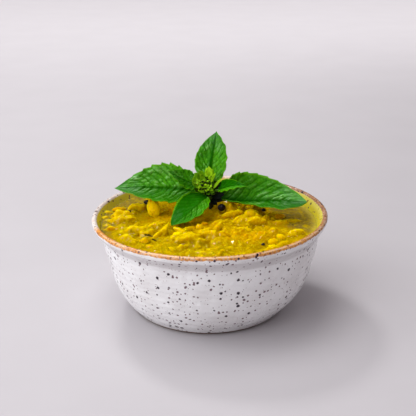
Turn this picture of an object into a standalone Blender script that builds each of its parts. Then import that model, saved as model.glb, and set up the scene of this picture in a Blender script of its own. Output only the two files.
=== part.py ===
"""A bowl of yellow dal with a basil sprig standing in it.

A hand-thrown stoneware bowl with a flared collar, the dal that fills it up to an uneven level, and a
sprig: a stem sunk in the dal, two pairs of large leaves, one pair of small ones and a cluster of buds.
Metres, +Z up. The origin is the centre of the foot, on the surface that the bowl stands on, and -Y is
the front.
"""

import math

import bmesh
import bpy
from mathutils import Vector

MM = 0.001

# Bowl. Each profile is a list of (radius, height) in mm, for a smooth curve to pass through.
RIM_RADIUS = 65.0
RIM_HEIGHT = 54.0
LIP_THICKNESS = 2.8
LIP_ARC_POINTS = 5
FOOT_RADIUS = 42.2
FOOT_RING_WIDTH = 5.0
FOOT_RECESS = 1.6
FLOOR_HEIGHT = 5.2
OUTER_WALL = [
    (64.7, 51.0), (63.1, 48.6), (61.0, 46.0), (60.0, 43.4), (59.6, 40.0), (58.7, 35.0),
    (56.9, 28.0), (54.9, 19.5), (51.4, 12.0), (47.6, 6.6), (44.6, 3.2),
]
INNER_WALL = [(15.0, 5.5), (31.0, 6.8), (43.0, 10.6), (49.6, 17.0), (53.6, 26.0), (56.2, 35.0), (58.2, 44.0)]
OUTER_STEPS = 1
INNER_STEPS = 1
TURN_STEPS = 60
SHARP_ANGLE = math.radians(40)
# The rim was thrown a little out of level: it rises towards +X.
LEAN = 0.0198
LEAN_FROM = 6.0

# Dal. Its broth stands at one level, and the thick part rises above it in lumps of (x, y, radius, height).
CLEARANCE = 0.3
BROTH_LEVEL = 48.4
LUMPS = [
    (18, 8, 12, 3.0),
    (28, 2, 7, 1.2),
    (-43, 13, 8, 1.8),
    (-45, -3, 8, 1.6),
    (-31, 14, 6, 1.6),
    (-31, -16, 11, 1.7),
    (-6, -24, 13, 2.3),
    (15, -28, 13, 1.8),
    (-20, -38, 12, 1.5),
    (31, -27, 9, 1.3),
    (4, -46, 12, 1.2),
    (-4, 38, 17, 2.2),
    (23, 33, 13, 1.8),
    (-28, 38, 11, 1.6),
]
# The lumps are themselves knobbly, most where they stand highest. The rows of knobs run askew to X and Y.
KNOB_HEIGHT = 0.28
KNOB_SPACING = 11.0
KNOB_SKEW = (0.35, -0.3)
SURFACE_GRID = 4.4
BLOCK_DEPTH = 60.0

# Stem, from its cut end down in the dal up to the buds.
STEM_RADIUS = 1.5
STEM_PATH = [(1.4, 17.0, 43.8), (1.0, 16.9, 50.5), (0.5, 16.8, 55.5), (0.1, 16.7, 59.9)]
STEM_HOLE_TOP = 56.0
STEM_HOLE_SIDES = 16

# Bud cluster: an egg with a knob for each bud, set round it at the golden angle. The surface stands above
# the egg where the nearness of the knobs passes the mean, and sinks below it elsewhere.
BUD_CENTRE = (-0.4, 16.6, 67.4)
BUD_SIZE = (4.6, 4.6, 7.1)
BUD_KNOBS = 26
BUD_KNOB_HEIGHT = 0.14
BUD_KNOB_SPREAD = 0.34
BUD_KNOB_MEAN = 0.5
BUD_SEGMENTS = 20
BUD_RINGS = 14
GOLDEN_ANGLE = math.pi * (3 - math.sqrt(5))

# Leaves. The midrib is a cubic Bezier curve from the stem to the tip. Each side of the blade, right then
# left as the leaf is seen from its base with its upper face up, has a width, the share of the length
# where it is widest, a fullness, and the angles at which it rises from the midrib at its base and tip.
LEAF_THICKNESS = 0.6
PETIOLE_HALF_WIDTH = 0.7
TIP_HALF_WIDTH = 0.25
PETIOLE_STATIONS = 2
# Teeth, as shares of the blade's length: the stretch that has them, the plain crossings before and behind
# it, where a tooth's point lies in its own share of the stretch, and how far to the flank and the notch.
# Their heights are shares of the blade's width.
TOOTHED = (0.12, 0.84)
PLAIN = (0.04, 0.93)
TOOTH_POINT = 0.7
TOOTH_REACH = 0.035
TOOTH = 0.07
TOOTH_HEIGHTS = ((-1, 0.3), (0, 1), (1, -0.6))
LEAVES = {
    "basil_leaf_left": {
        "midrib": [(-2.6, 17.0, 60.0), (-15.0, 18.0, 61.0), (-34.0, 17.5, 63.0), (-53.8, 14.5, 62.6)],
        "width": (15.6, 13.4), "widest": (0.44, 0.45), "full": (2.2, 1.65),
        "rise": ((55, 39), (-22, -11)), "petiole": 0.10, "teeth": 6, "across": 3,
    },
    "basil_leaf_right": {
        "midrib": [(4.0, 17.0, 56.5), (8.6, 15.3, 52.0), (36.3, 8.9, 57.7), (54.3, 3.0, 58.4)],
        "width": (13.4, 16.9), "widest": (0.68, 0.36), "full": (2.3, 1.5),
        "rise": ((27, -7), (80, 46)), "petiole": 0.10, "teeth": 6, "across": 3,
    },
    "basil_leaf_back": {
        "midrib": [(0.5, 20.0, 59.5), (-1.1, 23.5, 65.3), (3.1, 30.4, 81.3), (4.0, 30.5, 91.5)],
        "width": (10.0, 10.0), "widest": (0.48, 0.46), "full": (1.25, 2.0),
        "rise": ((16, 4), (14, 15)), "petiole": 0.12, "teeth": 6, "across": 2,
    },
    "basil_leaf_front": {
        "midrib": [(1.0, 13.2, 57.3), (-2.7, 5.5, 61.1), (-7.3, -5.0, 56.8), (-20.4, -15.5, 51.6)],
        "width": (11.5, 7.3), "widest": (0.49, 0.5), "full": (1.3, 2.3),
        "rise": ((27, -3), (17, -11)), "petiole": 0.10, "teeth": 6, "across": 2,
    },
    "basil_leaf_inner_left": {
        "midrib": [(-6.6, 14.5, 65.8), (-10.0, 13.0, 64.4), (-18.4, 11.1, 70.7), (-23.3, 9.0, 74.3)],
        "width": (7.3, 6.5), "widest": (0.38, 0.46), "full": (1.8, 1.85),
        "rise": ((63, 39), (-36, -9)), "petiole": 0.05, "teeth": 3, "across": 2,
    },
    "basil_leaf_inner_right": {
        "midrib": [(4.4, 12.3, 62.0), (7.5, 9.6, 63.6), (14.4, 6.5, 68.4), (21.1, 4.5, 66.9)],
        "width": (4.8, 5.3), "widest": (0.46, 0.3), "full": (1.85, 1.9),
        "rise": ((-13, -2), (68, 34)), "petiole": 0.05, "teeth": 3, "across": 2,
    },
}

GLAZE = ((0.80, 0.79, 0.77), 0.35)
DAL_YELLOW = ((0.75, 0.48, 0.02), 0.4)
STEM_GREEN = ((0.10, 0.20, 0.04), 0.6)
BUD_GREEN = ((0.25, 0.42, 0.03), 0.6)
LEAF_GREEN = ((0.06, 0.28, 0.02), 0.45)


def clear_scene():
    for old in list(bpy.data.objects):
        bpy.data.objects.remove(old)


def new_collection(name):
    collection = bpy.data.collections.new(name)
    bpy.context.scene.collection.children.link(collection)
    return collection


def make_material(name, finish):
    colour, roughness = finish
    material = bpy.data.materials.new(name)
    material.use_nodes = True
    shader = material.node_tree.nodes["Principled BSDF"]
    shader.inputs["Base Color"].default_value = (*colour, 1)
    shader.inputs["Roughness"].default_value = roughness
    shader.inputs["Metallic"].default_value = 0
    return material


def add_object(name, data, collection, material=None):
    made = bpy.data.objects.new(name, data)
    collection.objects.link(made)
    if material:
        data.materials.append(material)
    return made


def smooth_curve(points, steps):
    """Points on a Catmull-Rom curve through the given ones, with this many steps to a span."""
    padded = [points[0], *points, points[-1]]
    curve = []
    for before, start, end, after in zip(padded, padded[1:], padded[2:], padded[3:]):
        for i in range(steps):
            t = i / steps
            place = []
            for a, b, c, d in zip(before, start, end, after):
                bend, twist = 2 * a - 5 * b + 4 * c - d, 3 * b - a - 3 * c + d
                place.append((2 * b + (c - a) * t + bend * t**2 + twist * t**3) / 2)
            curve.append(tuple(place))
    return [*curve, points[-1]]


def lean_at(x, z):
    """How far the rim's slope lifts a point at this place, in mm."""
    share = min(max((z - LEAN_FROM) / (RIM_HEIGHT - LEAN_FROM), 0), 1)
    return LEAN * x * share * share * (3 - 2 * share)


def lean_mesh(mesh):
    for vertex in mesh.vertices:
        vertex.co.z += lean_at(vertex.co.x / MM, vertex.co.z / MM) * MM


def turned(name, profile, collection, material):
    """Turns a profile of (radius, height) in mm round Z, as a mesh that leans with the rim."""
    line = bpy.data.meshes.new(name)
    edges = [(i, i + 1) for i in range(len(profile) - 1)]
    line.from_pydata([(r * MM, 0, z * MM) for r, z in profile], edges, [])
    guide = add_object(name + "_profile", line, collection)
    screw = guide.modifiers.new("turn", "SCREW")
    screw.steps = TURN_STEPS
    screw.render_steps = TURN_STEPS
    screw.use_merge_vertices = True
    screw.merge_threshold = 0.00001
    bpy.context.view_layer.update()
    mesh = bpy.data.meshes.new_from_object(guide.evaluated_get(bpy.context.evaluated_depsgraph_get()))
    bpy.data.objects.remove(guide)
    mesh.name = name
    lean_mesh(mesh)
    mesh.materials.clear()
    mesh.shade_smooth()
    return add_object(name, mesh, collection, material)


def lip_arc():
    """The rounded lip, from its inner side over the top to its outer side."""
    radius = LIP_THICKNESS / 2
    centre = RIM_RADIUS - radius
    angles = [math.pi * (1 - i / (LIP_ARC_POINTS - 1)) for i in range(LIP_ARC_POINTS)]
    return [(centre + radius * math.cos(a), RIM_HEIGHT - radius + radius * math.sin(a)) for a in angles]


def inner_profile(lip_edge):
    """The inside of the bowl, from the middle of its floor up to the inner edge of the lip."""
    return smooth_curve([(0, FLOOR_HEIGHT), *INNER_WALL, lip_edge], INNER_STEPS)


def make_bowl(collection):
    lip = lip_arc()
    inside = inner_profile(lip[0])
    outside = smooth_curve([lip[-1], *OUTER_WALL, (FOOT_RADIUS, 0)], OUTER_STEPS)
    ring_inside = FOOT_RADIUS - FOOT_RING_WIDTH
    underside = [(ring_inside, 0), (ring_inside - FOOT_RECESS, FOOT_RECESS), (0, FOOT_RECESS)]
    profile = inside[:-1] + lip + outside[1:] + underside
    bowl = turned("bowl", profile, collection, make_material("glaze", GLAZE))
    bowl.data.set_sharp_from_angle(angle=SHARP_ANGLE)


def dal_height(x, y):
    """The height of the dal's surface in mm."""
    lift = sum(h * math.exp(-((x - cx) ** 2 + (y - cy) ** 2) / r**2) for cx, cy, r, h in LUMPS)
    turn = 2 * math.pi / KNOB_SPACING
    knobs = math.sin(turn * (x + KNOB_SKEW[0] * y)) * math.sin(turn * (y + KNOB_SKEW[1] * x))
    return BROTH_LEVEL + lift * (1 + KNOB_HEIGHT * knobs)


def make_surface_block(cutters):
    """A block whose top is the dal's surface."""
    half = round(RIM_RADIUS / SURFACE_GRID) * SURFACE_GRID
    mesh = bpy.data.meshes.new("dal_surface")
    shape = bmesh.new()
    count = round(2 * half / SURFACE_GRID)
    grid = bmesh.ops.create_grid(shape, x_segments=count, y_segments=count, size=half * MM)
    pushed = bmesh.ops.extrude_face_region(shape, geom=shape.faces[:])
    top = [part for part in pushed["geom"] if isinstance(part, bmesh.types.BMVert)]
    for vertex in grid["verts"]:
        vertex.co.z = (BROTH_LEVEL - BLOCK_DEPTH) * MM
    for vertex in top:
        vertex.co.z = dal_height(vertex.co.x / MM, vertex.co.y / MM) * MM
    bmesh.ops.recalc_face_normals(shape, faces=shape.faces[:])
    shape.to_mesh(mesh)
    shape.free()
    return add_cutter("dal_surface", mesh, cutters)


def make_stem_hole(cutters):
    """A rod a little wider than the stem, along the part of it that is in the dal."""
    start, end = Vector(STEM_PATH[0]), Vector(STEM_PATH[1])
    along = (end - start).normalized()
    bottom = start - along * CLEARANCE
    length = STEM_HOLE_TOP - bottom.z
    mesh = bpy.data.meshes.new("stem_hole")
    shape = bmesh.new()
    radius = (STEM_RADIUS + CLEARANCE) * MM
    bmesh.ops.create_cone(shape, cap_ends=True, segments=STEM_HOLE_SIDES, radius1=radius, radius2=radius,
                          depth=length * MM)
    shape.to_mesh(mesh)
    shape.free()
    hole = add_cutter("stem_hole", mesh, cutters)
    hole.rotation_euler = along.to_track_quat("Z", "Y").to_euler()
    hole.location = (bottom + along * length / 2) * MM
    return hole


def add_cutter(name, mesh, cutters):
    cutter = add_object(name, mesh, cutters)
    cutter.hide_render = True
    cutter.display_type = "WIRE"
    return cutter


def cut(target, cutter, operation):
    boolean = target.modifiers.new(cutter.name, "BOOLEAN")
    boolean.object = cutter
    boolean.operation = operation
    boolean.solver = "EXACT"


def inset(profile, distance):
    """A profile that runs out and up, moved inwards by this distance."""
    moved = []
    for i, (radius, height) in enumerate(profile):
        r1, z1 = profile[max(i - 1, 0)]
        r2, z2 = profile[min(i + 1, len(profile) - 1)]
        length = math.hypot(r2 - r1, z2 - z1)
        moved.append((max(radius - distance * (z2 - z1) / length, 0), height + distance * (r2 - r1) / length))
    return moved


def make_dal(collection, cutters):
    """Fills the bowl, less the clearance, and is cut off at its uneven surface."""
    wall = inset(inner_profile(lip_arc()[0]), CLEARANCE)
    profile = [(0, RIM_HEIGHT), (wall[-1][0], RIM_HEIGHT), *reversed(wall)]
    dal = turned("dal", profile, collection, make_material("dal", DAL_YELLOW))
    cut(dal, make_surface_block(cutters), "INTERSECT")
    cut(dal, make_stem_hole(cutters), "DIFFERENCE")


def make_stem(collection):
    curve = bpy.data.curves.new("basil_stem", "CURVE")
    curve.dimensions = "3D"
    curve.bevel_depth = STEM_RADIUS * MM
    curve.bevel_resolution = 2
    curve.use_fill_caps = True
    spline = curve.splines.new("POLY")
    spline.points.add(len(STEM_PATH) - 1)
    for point, place in zip(spline.points, STEM_PATH):
        point.co = (*(c * MM for c in place), 1)
    add_object("basil_stem", curve, collection, make_material("stem", STEM_GREEN))


def make_buds(collection):
    """An egg-shaped ball with a knob for each bud."""
    directions = []
    for i in range(BUD_KNOBS):
        height = 1 - 2 * (i + 0.5) / BUD_KNOBS
        ring = math.sqrt(1 - height**2)
        angle = i * GOLDEN_ANGLE
        directions.append(Vector((ring * math.cos(angle), ring * math.sin(angle), height)))
    mesh = bpy.data.meshes.new("basil_bud_cluster")
    shape = bmesh.new()
    bmesh.ops.create_uvsphere(shape, u_segments=BUD_SEGMENTS, v_segments=BUD_RINGS, radius=1)
    for vertex in shape.verts:
        way = vertex.co.normalized()
        near = sum(math.exp(-((way - d).length / BUD_KNOB_SPREAD) ** 2) for d in directions)
        swell = 1 + BUD_KNOB_HEIGHT * (near - BUD_KNOB_MEAN)
        vertex.co = Vector([(c + s * swell * w) * MM for c, s, w in zip(BUD_CENTRE, BUD_SIZE, way)])
    shape.to_mesh(mesh)
    shape.free()
    mesh.shade_smooth()
    add_object("basil_bud_cluster", mesh, collection, make_material("buds", BUD_GREEN))


def bezier(points, t):
    """The place on a cubic Bezier curve, and its direction there."""
    a, b, c, d = (Vector(p) for p in points)
    u = 1 - t
    place = a * u**3 + b * 3 * t * u**2 + c * 3 * t**2 * u + d * t**3
    way = (b - a) * u**2 + (c - b) * 2 * t * u + (d - c) * t**2
    return place, way.normalized()


def blade_width(share, widest, full):
    """A leaf's outline: its half width at a share of its length, as a share of the widest."""
    if not 0 < share < 1:
        return 0
    return (share / widest) ** (full * widest) * ((1 - share) / (1 - widest)) ** (full * (1 - widest))


def leaf_stations(teeth):
    """Where the blade is crossed, as shares of its length, each with the height of the tooth there."""
    first, last = TOOTHED
    stations = [(0, 0), (PLAIN[0], 0)]
    for i in range(teeth):
        point = first + (last - first) * (i + TOOTH_POINT) / teeth
        stations += [(point + TOOTH_REACH * side, height) for side, height in TOOTH_HEIGHTS]
    return [*stations, (PLAIN[1], 0), (1, 0)]


def make_leaf(name, leaf, collection, material):
    """A blade folded along its midrib, with toothed edges, given its thickness by Solidify."""
    rows = []
    sides = list(zip((1, -1), leaf["width"], leaf["widest"], leaf["full"], leaf["rise"]))
    stations = [(leaf["petiole"] * i / PETIOLE_STATIONS, None, 0) for i in range(PETIOLE_STATIONS)]
    for share, tooth in leaf_stations(leaf["teeth"]):
        stations.append((leaf["petiole"] + (1 - leaf["petiole"]) * share, share, tooth))
    for t, share, tooth in stations:
        middle, along = bezier(leaf["midrib"], t)
        right = along.cross(Vector((0, 0, 1))).normalized()
        up = right.cross(along)
        row = [middle]
        for side, width, widest, full, (rise_base, rise_tip) in sides:
            if share is None:
                half, blend = PETIOLE_HALF_WIDTH, 0
            else:
                half = width * blade_width(share, widest, full) * (1 + TOOTH * tooth)
                half = max(half, PETIOLE_HALF_WIDTH if share < widest else TIP_HALF_WIDTH)
                blend = share
            angle = math.radians(rise_base + (rise_tip - rise_base) * blend)
            out = right * side * math.cos(angle) + up * math.sin(angle)
            half_row = [middle + out * half * (i + 1) / leaf["across"] for i in range(leaf["across"])]
            row = row + half_row if side > 0 else list(reversed(half_row)) + row
        rows.append(row)
    mesh = bpy.data.meshes.new(name)
    width = len(rows[0])
    starts = [i * width + j for i in range(len(rows) - 1) for j in range(width - 1)]
    faces = [(start, start + 1, start + width + 1, start + width) for start in starts]
    mesh.from_pydata([p * MM for row in rows for p in row], [], faces)
    mesh.shade_smooth()
    blade = add_object(name, mesh, collection, material)
    solidify = blade.modifiers.new("thickness", "SOLIDIFY")
    solidify.thickness = LEAF_THICKNESS * MM
    solidify.offset = 0


def main():
    clear_scene()
    collection = new_collection("dal")
    cutters = new_collection("cutters")
    make_bowl(collection)
    make_dal(collection, cutters)
    make_stem(collection)
    make_buds(collection)
    leaf_green = make_material("leaf", LEAF_GREEN)
    for name, leaf in LEAVES.items():
        make_leaf(name, leaf, collection, leaf_green)


main()
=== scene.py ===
"""The looks of the bowl of dal: a speckled stoneware bowl, cooked split chickpeas in broth, and a basil sprig.

Lengths are in millimetres up to where a mesh is made. +Z is up, -Y is the front, and the origin is the
centre of the bowl's foot, as in the frame that this script loads.
"""
import itertools
import math
from collections import namedtuple

import bmesh
import bpy
import numpy as np
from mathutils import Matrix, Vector
from mathutils.kdtree import KDTree


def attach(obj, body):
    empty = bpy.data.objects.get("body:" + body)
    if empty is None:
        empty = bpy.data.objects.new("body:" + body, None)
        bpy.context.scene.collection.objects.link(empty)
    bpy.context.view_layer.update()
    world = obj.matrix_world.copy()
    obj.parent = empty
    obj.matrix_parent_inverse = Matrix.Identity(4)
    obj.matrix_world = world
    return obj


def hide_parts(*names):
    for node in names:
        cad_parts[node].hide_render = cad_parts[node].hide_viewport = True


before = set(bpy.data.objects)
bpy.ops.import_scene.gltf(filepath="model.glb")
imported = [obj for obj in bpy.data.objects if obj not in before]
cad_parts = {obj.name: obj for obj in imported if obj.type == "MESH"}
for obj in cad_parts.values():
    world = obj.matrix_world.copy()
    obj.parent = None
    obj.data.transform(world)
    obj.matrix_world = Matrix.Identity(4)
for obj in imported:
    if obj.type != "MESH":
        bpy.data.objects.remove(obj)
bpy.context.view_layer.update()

MM = 0.001
BODY = "root"
GOLDEN_ANGLE = math.pi * (3 - math.sqrt(5))

# The bowl, as in the frame: (radius, height) profiles for a smooth curve to pass through.
RIM_RADIUS = 65.0
RIM_HEIGHT = 54.0
LIP_THICKNESS = 2.8
FOOT_RADIUS = 42.2
FOOT_RING_WIDTH = 5.0
FOOT_RECESS = 1.6
FLOOR_HEIGHT = 5.2
OUTER_WALL = [
    (64.7, 51), (63.1, 48.6), (61, 46), (60, 43.4), (59.6, 40), (58.7, 35),
    (56.9, 28), (54.9, 19.5), (51.4, 12), (47.6, 6.6), (44.6, 3.2),
]
INNER_WALL = [(15, 5.5), (31, 6.8), (43, 10.6), (49.6, 17), (53.6, 26), (56.2, 35), (58.2, 44)]
LEAN = 0.0198
LEAN_FROM = 6.0
BROTH_LEVEL = 48.4

# Where the thick dal stands above its broth, as in the frame: (x, y, radius, height).
LUMPS = [
    (18, 8, 12, 3), (28, 2, 7, 1.2), (-43, 13, 8, 1.8), (-45, -3, 8, 1.6), (-31, 14, 6, 1.6),
    (-31, -16, 11, 1.7), (-6, -24, 13, 2.3), (15, -28, 13, 1.8), (-20, -38, 12, 1.5), (31, -27, 9, 1.3),
    (4, -46, 12, 1.2), (-4, 38, 17, 2.2), (23, 33, 13, 1.8), (-28, 38, 11, 1.6),
]


# ---------------------------------------------------------------- helpers

def smooth_random(places, size, seed):
    """Smooth random values from -1 to 1 at places of shape (..., 3), in features of about this size."""
    cells = 31
    table = np.random.default_rng(seed).uniform(-1, 1, (cells,) * 3)
    scaled = places / size + 1000.5
    cell = np.floor(scaled).astype(int)
    share = scaled - cell
    share = share * share * (3 - 2 * share)
    total = 0
    for corner in itertools.product((0, 1), repeat=3):
        weight = np.prod(np.where(corner, share, 1 - share), axis=-1)
        i, j, k = np.moveaxis((cell + corner) % cells, -1, 0)
        total = total + weight * table[i, j, k]
    return total


def roughened(places, size, seed, octaves=3):
    """Smooth random values with finer ones added, each octave half as large and half as strong."""
    turn = np.array([[0.80, 0.36, -0.48], [-0.60, 0.48, -0.64], [0.0, 0.80, 0.60]])
    total = 0
    for octave in range(octaves):
        total = total + smooth_random(places, size / 2**octave, seed + octave) / 2**octave
        places = places @ turn.T
    return total


def smoothstep(low, high, value):
    share = np.clip((value - low) / (high - low), 0, 1)
    return share * share * (3 - 2 * share)


def smooth_curve(points, steps):
    """Points on a Catmull-Rom curve through the given ones, with this many steps to a span."""
    padded = np.array([points[0], *points, points[-1]], float)
    curve = []
    for a, b, c, d in zip(padded, padded[1:], padded[2:], padded[3:]):
        for i in range(steps):
            t = i / steps
            curve.append((2 * b + (c - a) * t + (2 * a - 5 * b + 4 * c - d) * t**2
                          + (3 * b - a - 3 * c + d) * t**3) / 2)
    return np.array([*curve, padded[-1]])


def even_spacing(points, gap):
    """The same line with points an even distance apart, and how far along each one is."""
    lengths = np.r_[0, np.cumsum(np.linalg.norm(np.diff(points, axis=0), axis=1))]
    along = np.linspace(0, lengths[-1], max(2, round(lengths[-1] / gap) + 1))
    return np.stack([np.interp(along, lengths, points[:, k]) for k in range(points.shape[1])], 1), along


def crossing(a, b):
    """The unit vector square to both."""
    made = np.cross(a, b)
    return made / np.maximum(np.linalg.norm(made, axis=-1, keepdims=True), 1e-9)


def add_object(name, data):
    made = bpy.data.objects.new(name, data)
    bpy.context.scene.collection.objects.link(made)
    return made


def joined(parts):
    """Several parts of (places, faces, attributes) as one. An attribute has one value for its part or for
    each of its places."""
    places, faces, attributes = [], [], {}
    offset = 0
    for part_places, part_faces, part_attributes in parts:
        places.append(part_places)
        faces += [tuple(i + offset for i in face) for face in part_faces]
        for key, values in part_attributes.items():
            attributes.setdefault(key, []).append(np.broadcast_to(values, len(part_places)))
        offset += len(part_places)
    return np.concatenate(places), faces, {key: np.concatenate(v) for key, v in attributes.items()}


def make_piece(name, parts, material, slot, *replaced):
    """A mesh piece from parts with their places in mm, riding on the bowl, in place of these CAD nodes."""
    places, faces, attributes = joined(parts)
    mesh = bpy.data.meshes.new(name)
    mesh.from_pydata((places * MM).tolist(), [], faces)
    mesh.validate()
    mesh.shade_smooth()
    for key, values in attributes.items():
        mesh.attributes.new(key, "FLOAT", "POINT").data.foreach_set("value", values.astype(np.float32))
    mesh.materials.append(material)
    piece = add_object(name, mesh)
    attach(piece, BODY)
    if replaced:
        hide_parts(*replaced)
    return piece


def grid_faces(rows, columns, closed=False):
    """Faces of a grid of places stored row by row. A closed grid joins its last column to its first."""
    faces = []
    for i in range(rows - 1):
        for j in range(columns if closed else columns - 1):
            k = (j + 1) % columns
            faces.append((i * columns + j, i * columns + k, (i + 1) * columns + k, (i + 1) * columns + j))
    return faces


def turned_faces(rings, turns, first, last):
    """Faces of a closed turned surface, ring after ring, that ends in two single places."""
    faces = grid_faces(rings, turns, closed=True)
    base = (rings - 1) * turns
    for j in range(turns):
        k = (j + 1) % turns
        faces += [(first, k, j), (last, base + j, base + k)]
    return faces


# ---------------------------------------------------------------- materials

class Value:
    """What a node gives. Arithmetic with it adds nodes."""

    def __init__(self, shader, socket):
        self.shader = shader
        self.socket = socket

    def __add__(self, other):
        return self.shader.math("ADD", self, other)

    def __sub__(self, other):
        return self.shader.math("SUBTRACT", self, other)

    def __rsub__(self, other):
        return self.shader.math("SUBTRACT", other, self)

    def __mul__(self, other):
        return self.shader.math("MULTIPLY", self, other)

    def step(self, low, high, to_low=0.0, to_high=1.0):
        """A smooth step from to_low to to_high as this goes from low to high."""
        ends = {"Value": self, "From Min": low, "From Max": high, "To Min": to_low, "To Max": to_high}
        return self.shader.value("Result", "MapRange", ends, interpolation_type="SMOOTHSTEP")


class Shader:
    """A new material with its Principled shader, and short ways to add nodes to it."""

    def __init__(self, name, **constants):
        self.material = bpy.data.materials.new(name)
        self.material.use_nodes = True
        self.tree = self.material.node_tree
        self.surface = self.tree.nodes["Principled BSDF"]
        self.feed(**constants)

    def feed(self, **inputs):
        """Link or set the surface's inputs."""
        for key, given in inputs.items():
            self.put(self.surface.inputs[key.replace("_", " ")], given)
        return self.material

    def put(self, socket, given):
        if isinstance(given, Value):
            self.tree.links.new(given.socket, socket)
        else:
            socket.default_value = given

    def node(self, kind, inputs, **settings):
        made = self.tree.nodes.new("ShaderNode" + kind)
        for key, setting in settings.items():
            setattr(made, key, setting)
        for key, given in inputs.items():
            self.put(made.inputs[key], given)
        return made

    def value(self, output, kind, inputs, **settings):
        """One output of a new node."""
        return Value(self, self.node(kind, inputs, **settings).outputs[output])

    def place(self):
        return self.value("Object", "TexCoord", {})

    def height_step(self, low, high, uneven=None):
        """A smooth step from 0 to 1 between two heights in mm, shifted by an uneven value in mm."""
        height = self.value("Z", "SeparateXYZ", {"Vector": self.place()})
        if uneven:
            height = height + uneven * MM
        return height.step(low * MM, high * MM)

    def attribute(self, name):
        return self.value("Fac", "Attribute", {}, attribute_name=name)

    def noise(self, size, detail=2.0):
        """Noise from 0 to 1, in features of about this size in mm."""
        inputs = {"Vector": self.place(), "Scale": 1 / (size * MM), "Detail": detail}
        return self.value("Fac", "TexNoise", inputs)

    def math(self, operation, a, b, clamp=False):
        return self.value(0, "Math", {0: a, 1: b}, operation=operation, use_clamp=clamp)

    def vector_math(self, operation, a, b, key=1):
        """Vector arithmetic on a and b, with b in this input."""
        return self.value(0, "VectorMath", {0: a, key: b}, operation=operation)

    def mix(self, share, a, b):
        """Colour a where share is 0, b where it is 1."""
        a, b = (colour if isinstance(colour, Value) else (*colour, 1) for colour in (a, b))
        return self.value(2, "Mix", {0: share, 6: a, 7: b}, data_type="RGBA")

    def painted(self, colour, *coats):
        """A colour with others laid over it in turn, each as (its share, the colour)."""
        for share, over in coats:
            colour = self.mix(share, colour, over)
        return colour

    def specks(self, spacing, largest, wobble, shift=0.0, small_share=1.6):
        """Spots at random places, about this far apart in mm, with radii up to the largest."""
        at = self.place()
        bend = self.value("Color", "TexNoise", {"Vector": at, "Scale": 1 / (1.1 * MM), "Detail": 1.0})
        bend = self.vector_math("SUBTRACT", bend, (0.5, 0.5, 0.5))
        bend = self.vector_math("SCALE", bend, wobble * MM, "Scale")
        moved = self.vector_math("ADD", self.vector_math("ADD", at, bend), (shift, 0, shift))
        cells = self.node("TexVoronoi", {"Vector": moved, "Scale": 1 / (spacing * MM)})
        pick = self.value(0, "SeparateColor", {"Color": Value(self, cells.outputs["Color"])})
        radius = self.math("POWER", pick, small_share) * (largest / spacing)
        return (radius - Value(self, cells.outputs["Distance"])).step(0.0, 0.10 * largest / spacing)

    def bump(self, height, depth):
        """Relief of this depth in mm."""
        return self.value(0, "Bump", {"Height": height, "Distance": depth * MM, "Strength": 1.0})


# ---------------------------------------------------------------- bowl

TURN_STEPS = 240
RING_GAP = 0.85
OUT_OF_ROUND = 0.132
THROWING_RINGS = 0.07
THROWING_PITCH = 3.4
LIP_STEPS = 15
LIP_UNEVEN = 0.16
# How far the outside was pushed to the right in throwing, in mm, at these heights.
PUSHED = [(0, -0.9), (5, -0.7), (12, 0.2), (22, 0.9), (38, 0.8), (46, 0.4), (52, 0)]
# How tan the lip is round the bowl, by the angle from the right in degrees. The low values at the left
# leave it pale, partly as a painted highlight, and the values over 1 on the right paint shade there in brown.
LIP_TAN_AND_PAINTED_LIGHT = [
    (-180, 0.1), (-165, 0.15), (-150, 0.8), (-135, 1), (-45, 1), (-5, 1.3), (50, 1.3), (68, 0.3), (130, 0.2),
    (180, 0.1),
]

# Heights in mm that the colour changes between: over and under the hollow below the lip, where shade is
# painted, down the stained inner wall, and at the edge of the bare clay.
HOLLOW_TOP = (50.2, 49.3)
HOLLOW_BOTTOM = (43.8, 45.1)
STAIN_EDGE = (53.5, 50.0)
CLAY_EDGE = (2.0, 1.4)
# How far past the lip's crest in mm the inside ends, the tan starts, and the cream line, partly a painted
# highlight, rises and falls.
INSIDE_EDGE = (-0.9, -1.8)
TAN_START = (-1.9, -1.3)
CREST_RISE = (0.5, 0.95)
CREST_FALL = (1.75, 1.35)

GLAZE = (0.87, 0.86, 0.87)
GREYER_GLAZE = (0.77, 0.75, 0.755)
HOLLOW_SHADE_GREY = (0.46, 0.42, 0.42)
PALE_STAIN = (0.72, 0.64, 0.12)
STAIN = (0.60, 0.50, 0.02)
STAIN_GRAIN = (0.60, 0.48, 0.03)
LIP_CREAM = (0.80, 0.74, 0.68)
LIP_PINK = (0.70, 0.52, 0.42)
BURNT_TAN = (0.46, 0.16, 0.03)
TAN = (0.80, 0.36, 0.08)
CREST_CREAM_AND_HIGHLIGHT = (0.80, 0.54, 0.28)
PAINTED_SHADE_TAN = (0.29, 0.145, 0.085)
WORN_TAN = (0.60, 0.44, 0.36)
LIP_BLOT = (0.16, 0.055, 0.03)
FINE_SPECK = (0.28, 0.15, 0.15)
MEDIUM_SPECK = (0.10, 0.028, 0.045)
SPECK_HALO = (0.30, 0.18, 0.22)
LARGE_SPECK = (0.010, 0.002, 0.012)
CLAY = (0.16, 0.08, 0.05)


def lean_at(x, z):
    """How far the rim's slope lifts a place, in mm."""
    return LEAN * x * smoothstep(LEAN_FROM, RIM_HEIGHT, z)


def lip_arc():
    """The rounded lip, from its inner side over the top to its outer side."""
    radius = LIP_THICKNESS / 2
    angle = np.pi * (1 - np.linspace(0, 1, LIP_STEPS))
    return np.stack([RIM_RADIUS - radius + radius * np.cos(angle),
                     RIM_HEIGHT - radius + radius * np.sin(angle)], 1)


def inner_profile():
    return smooth_curve([(0, FLOOR_HEIGHT), *INNER_WALL, lip_arc()[0]], 8)


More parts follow.
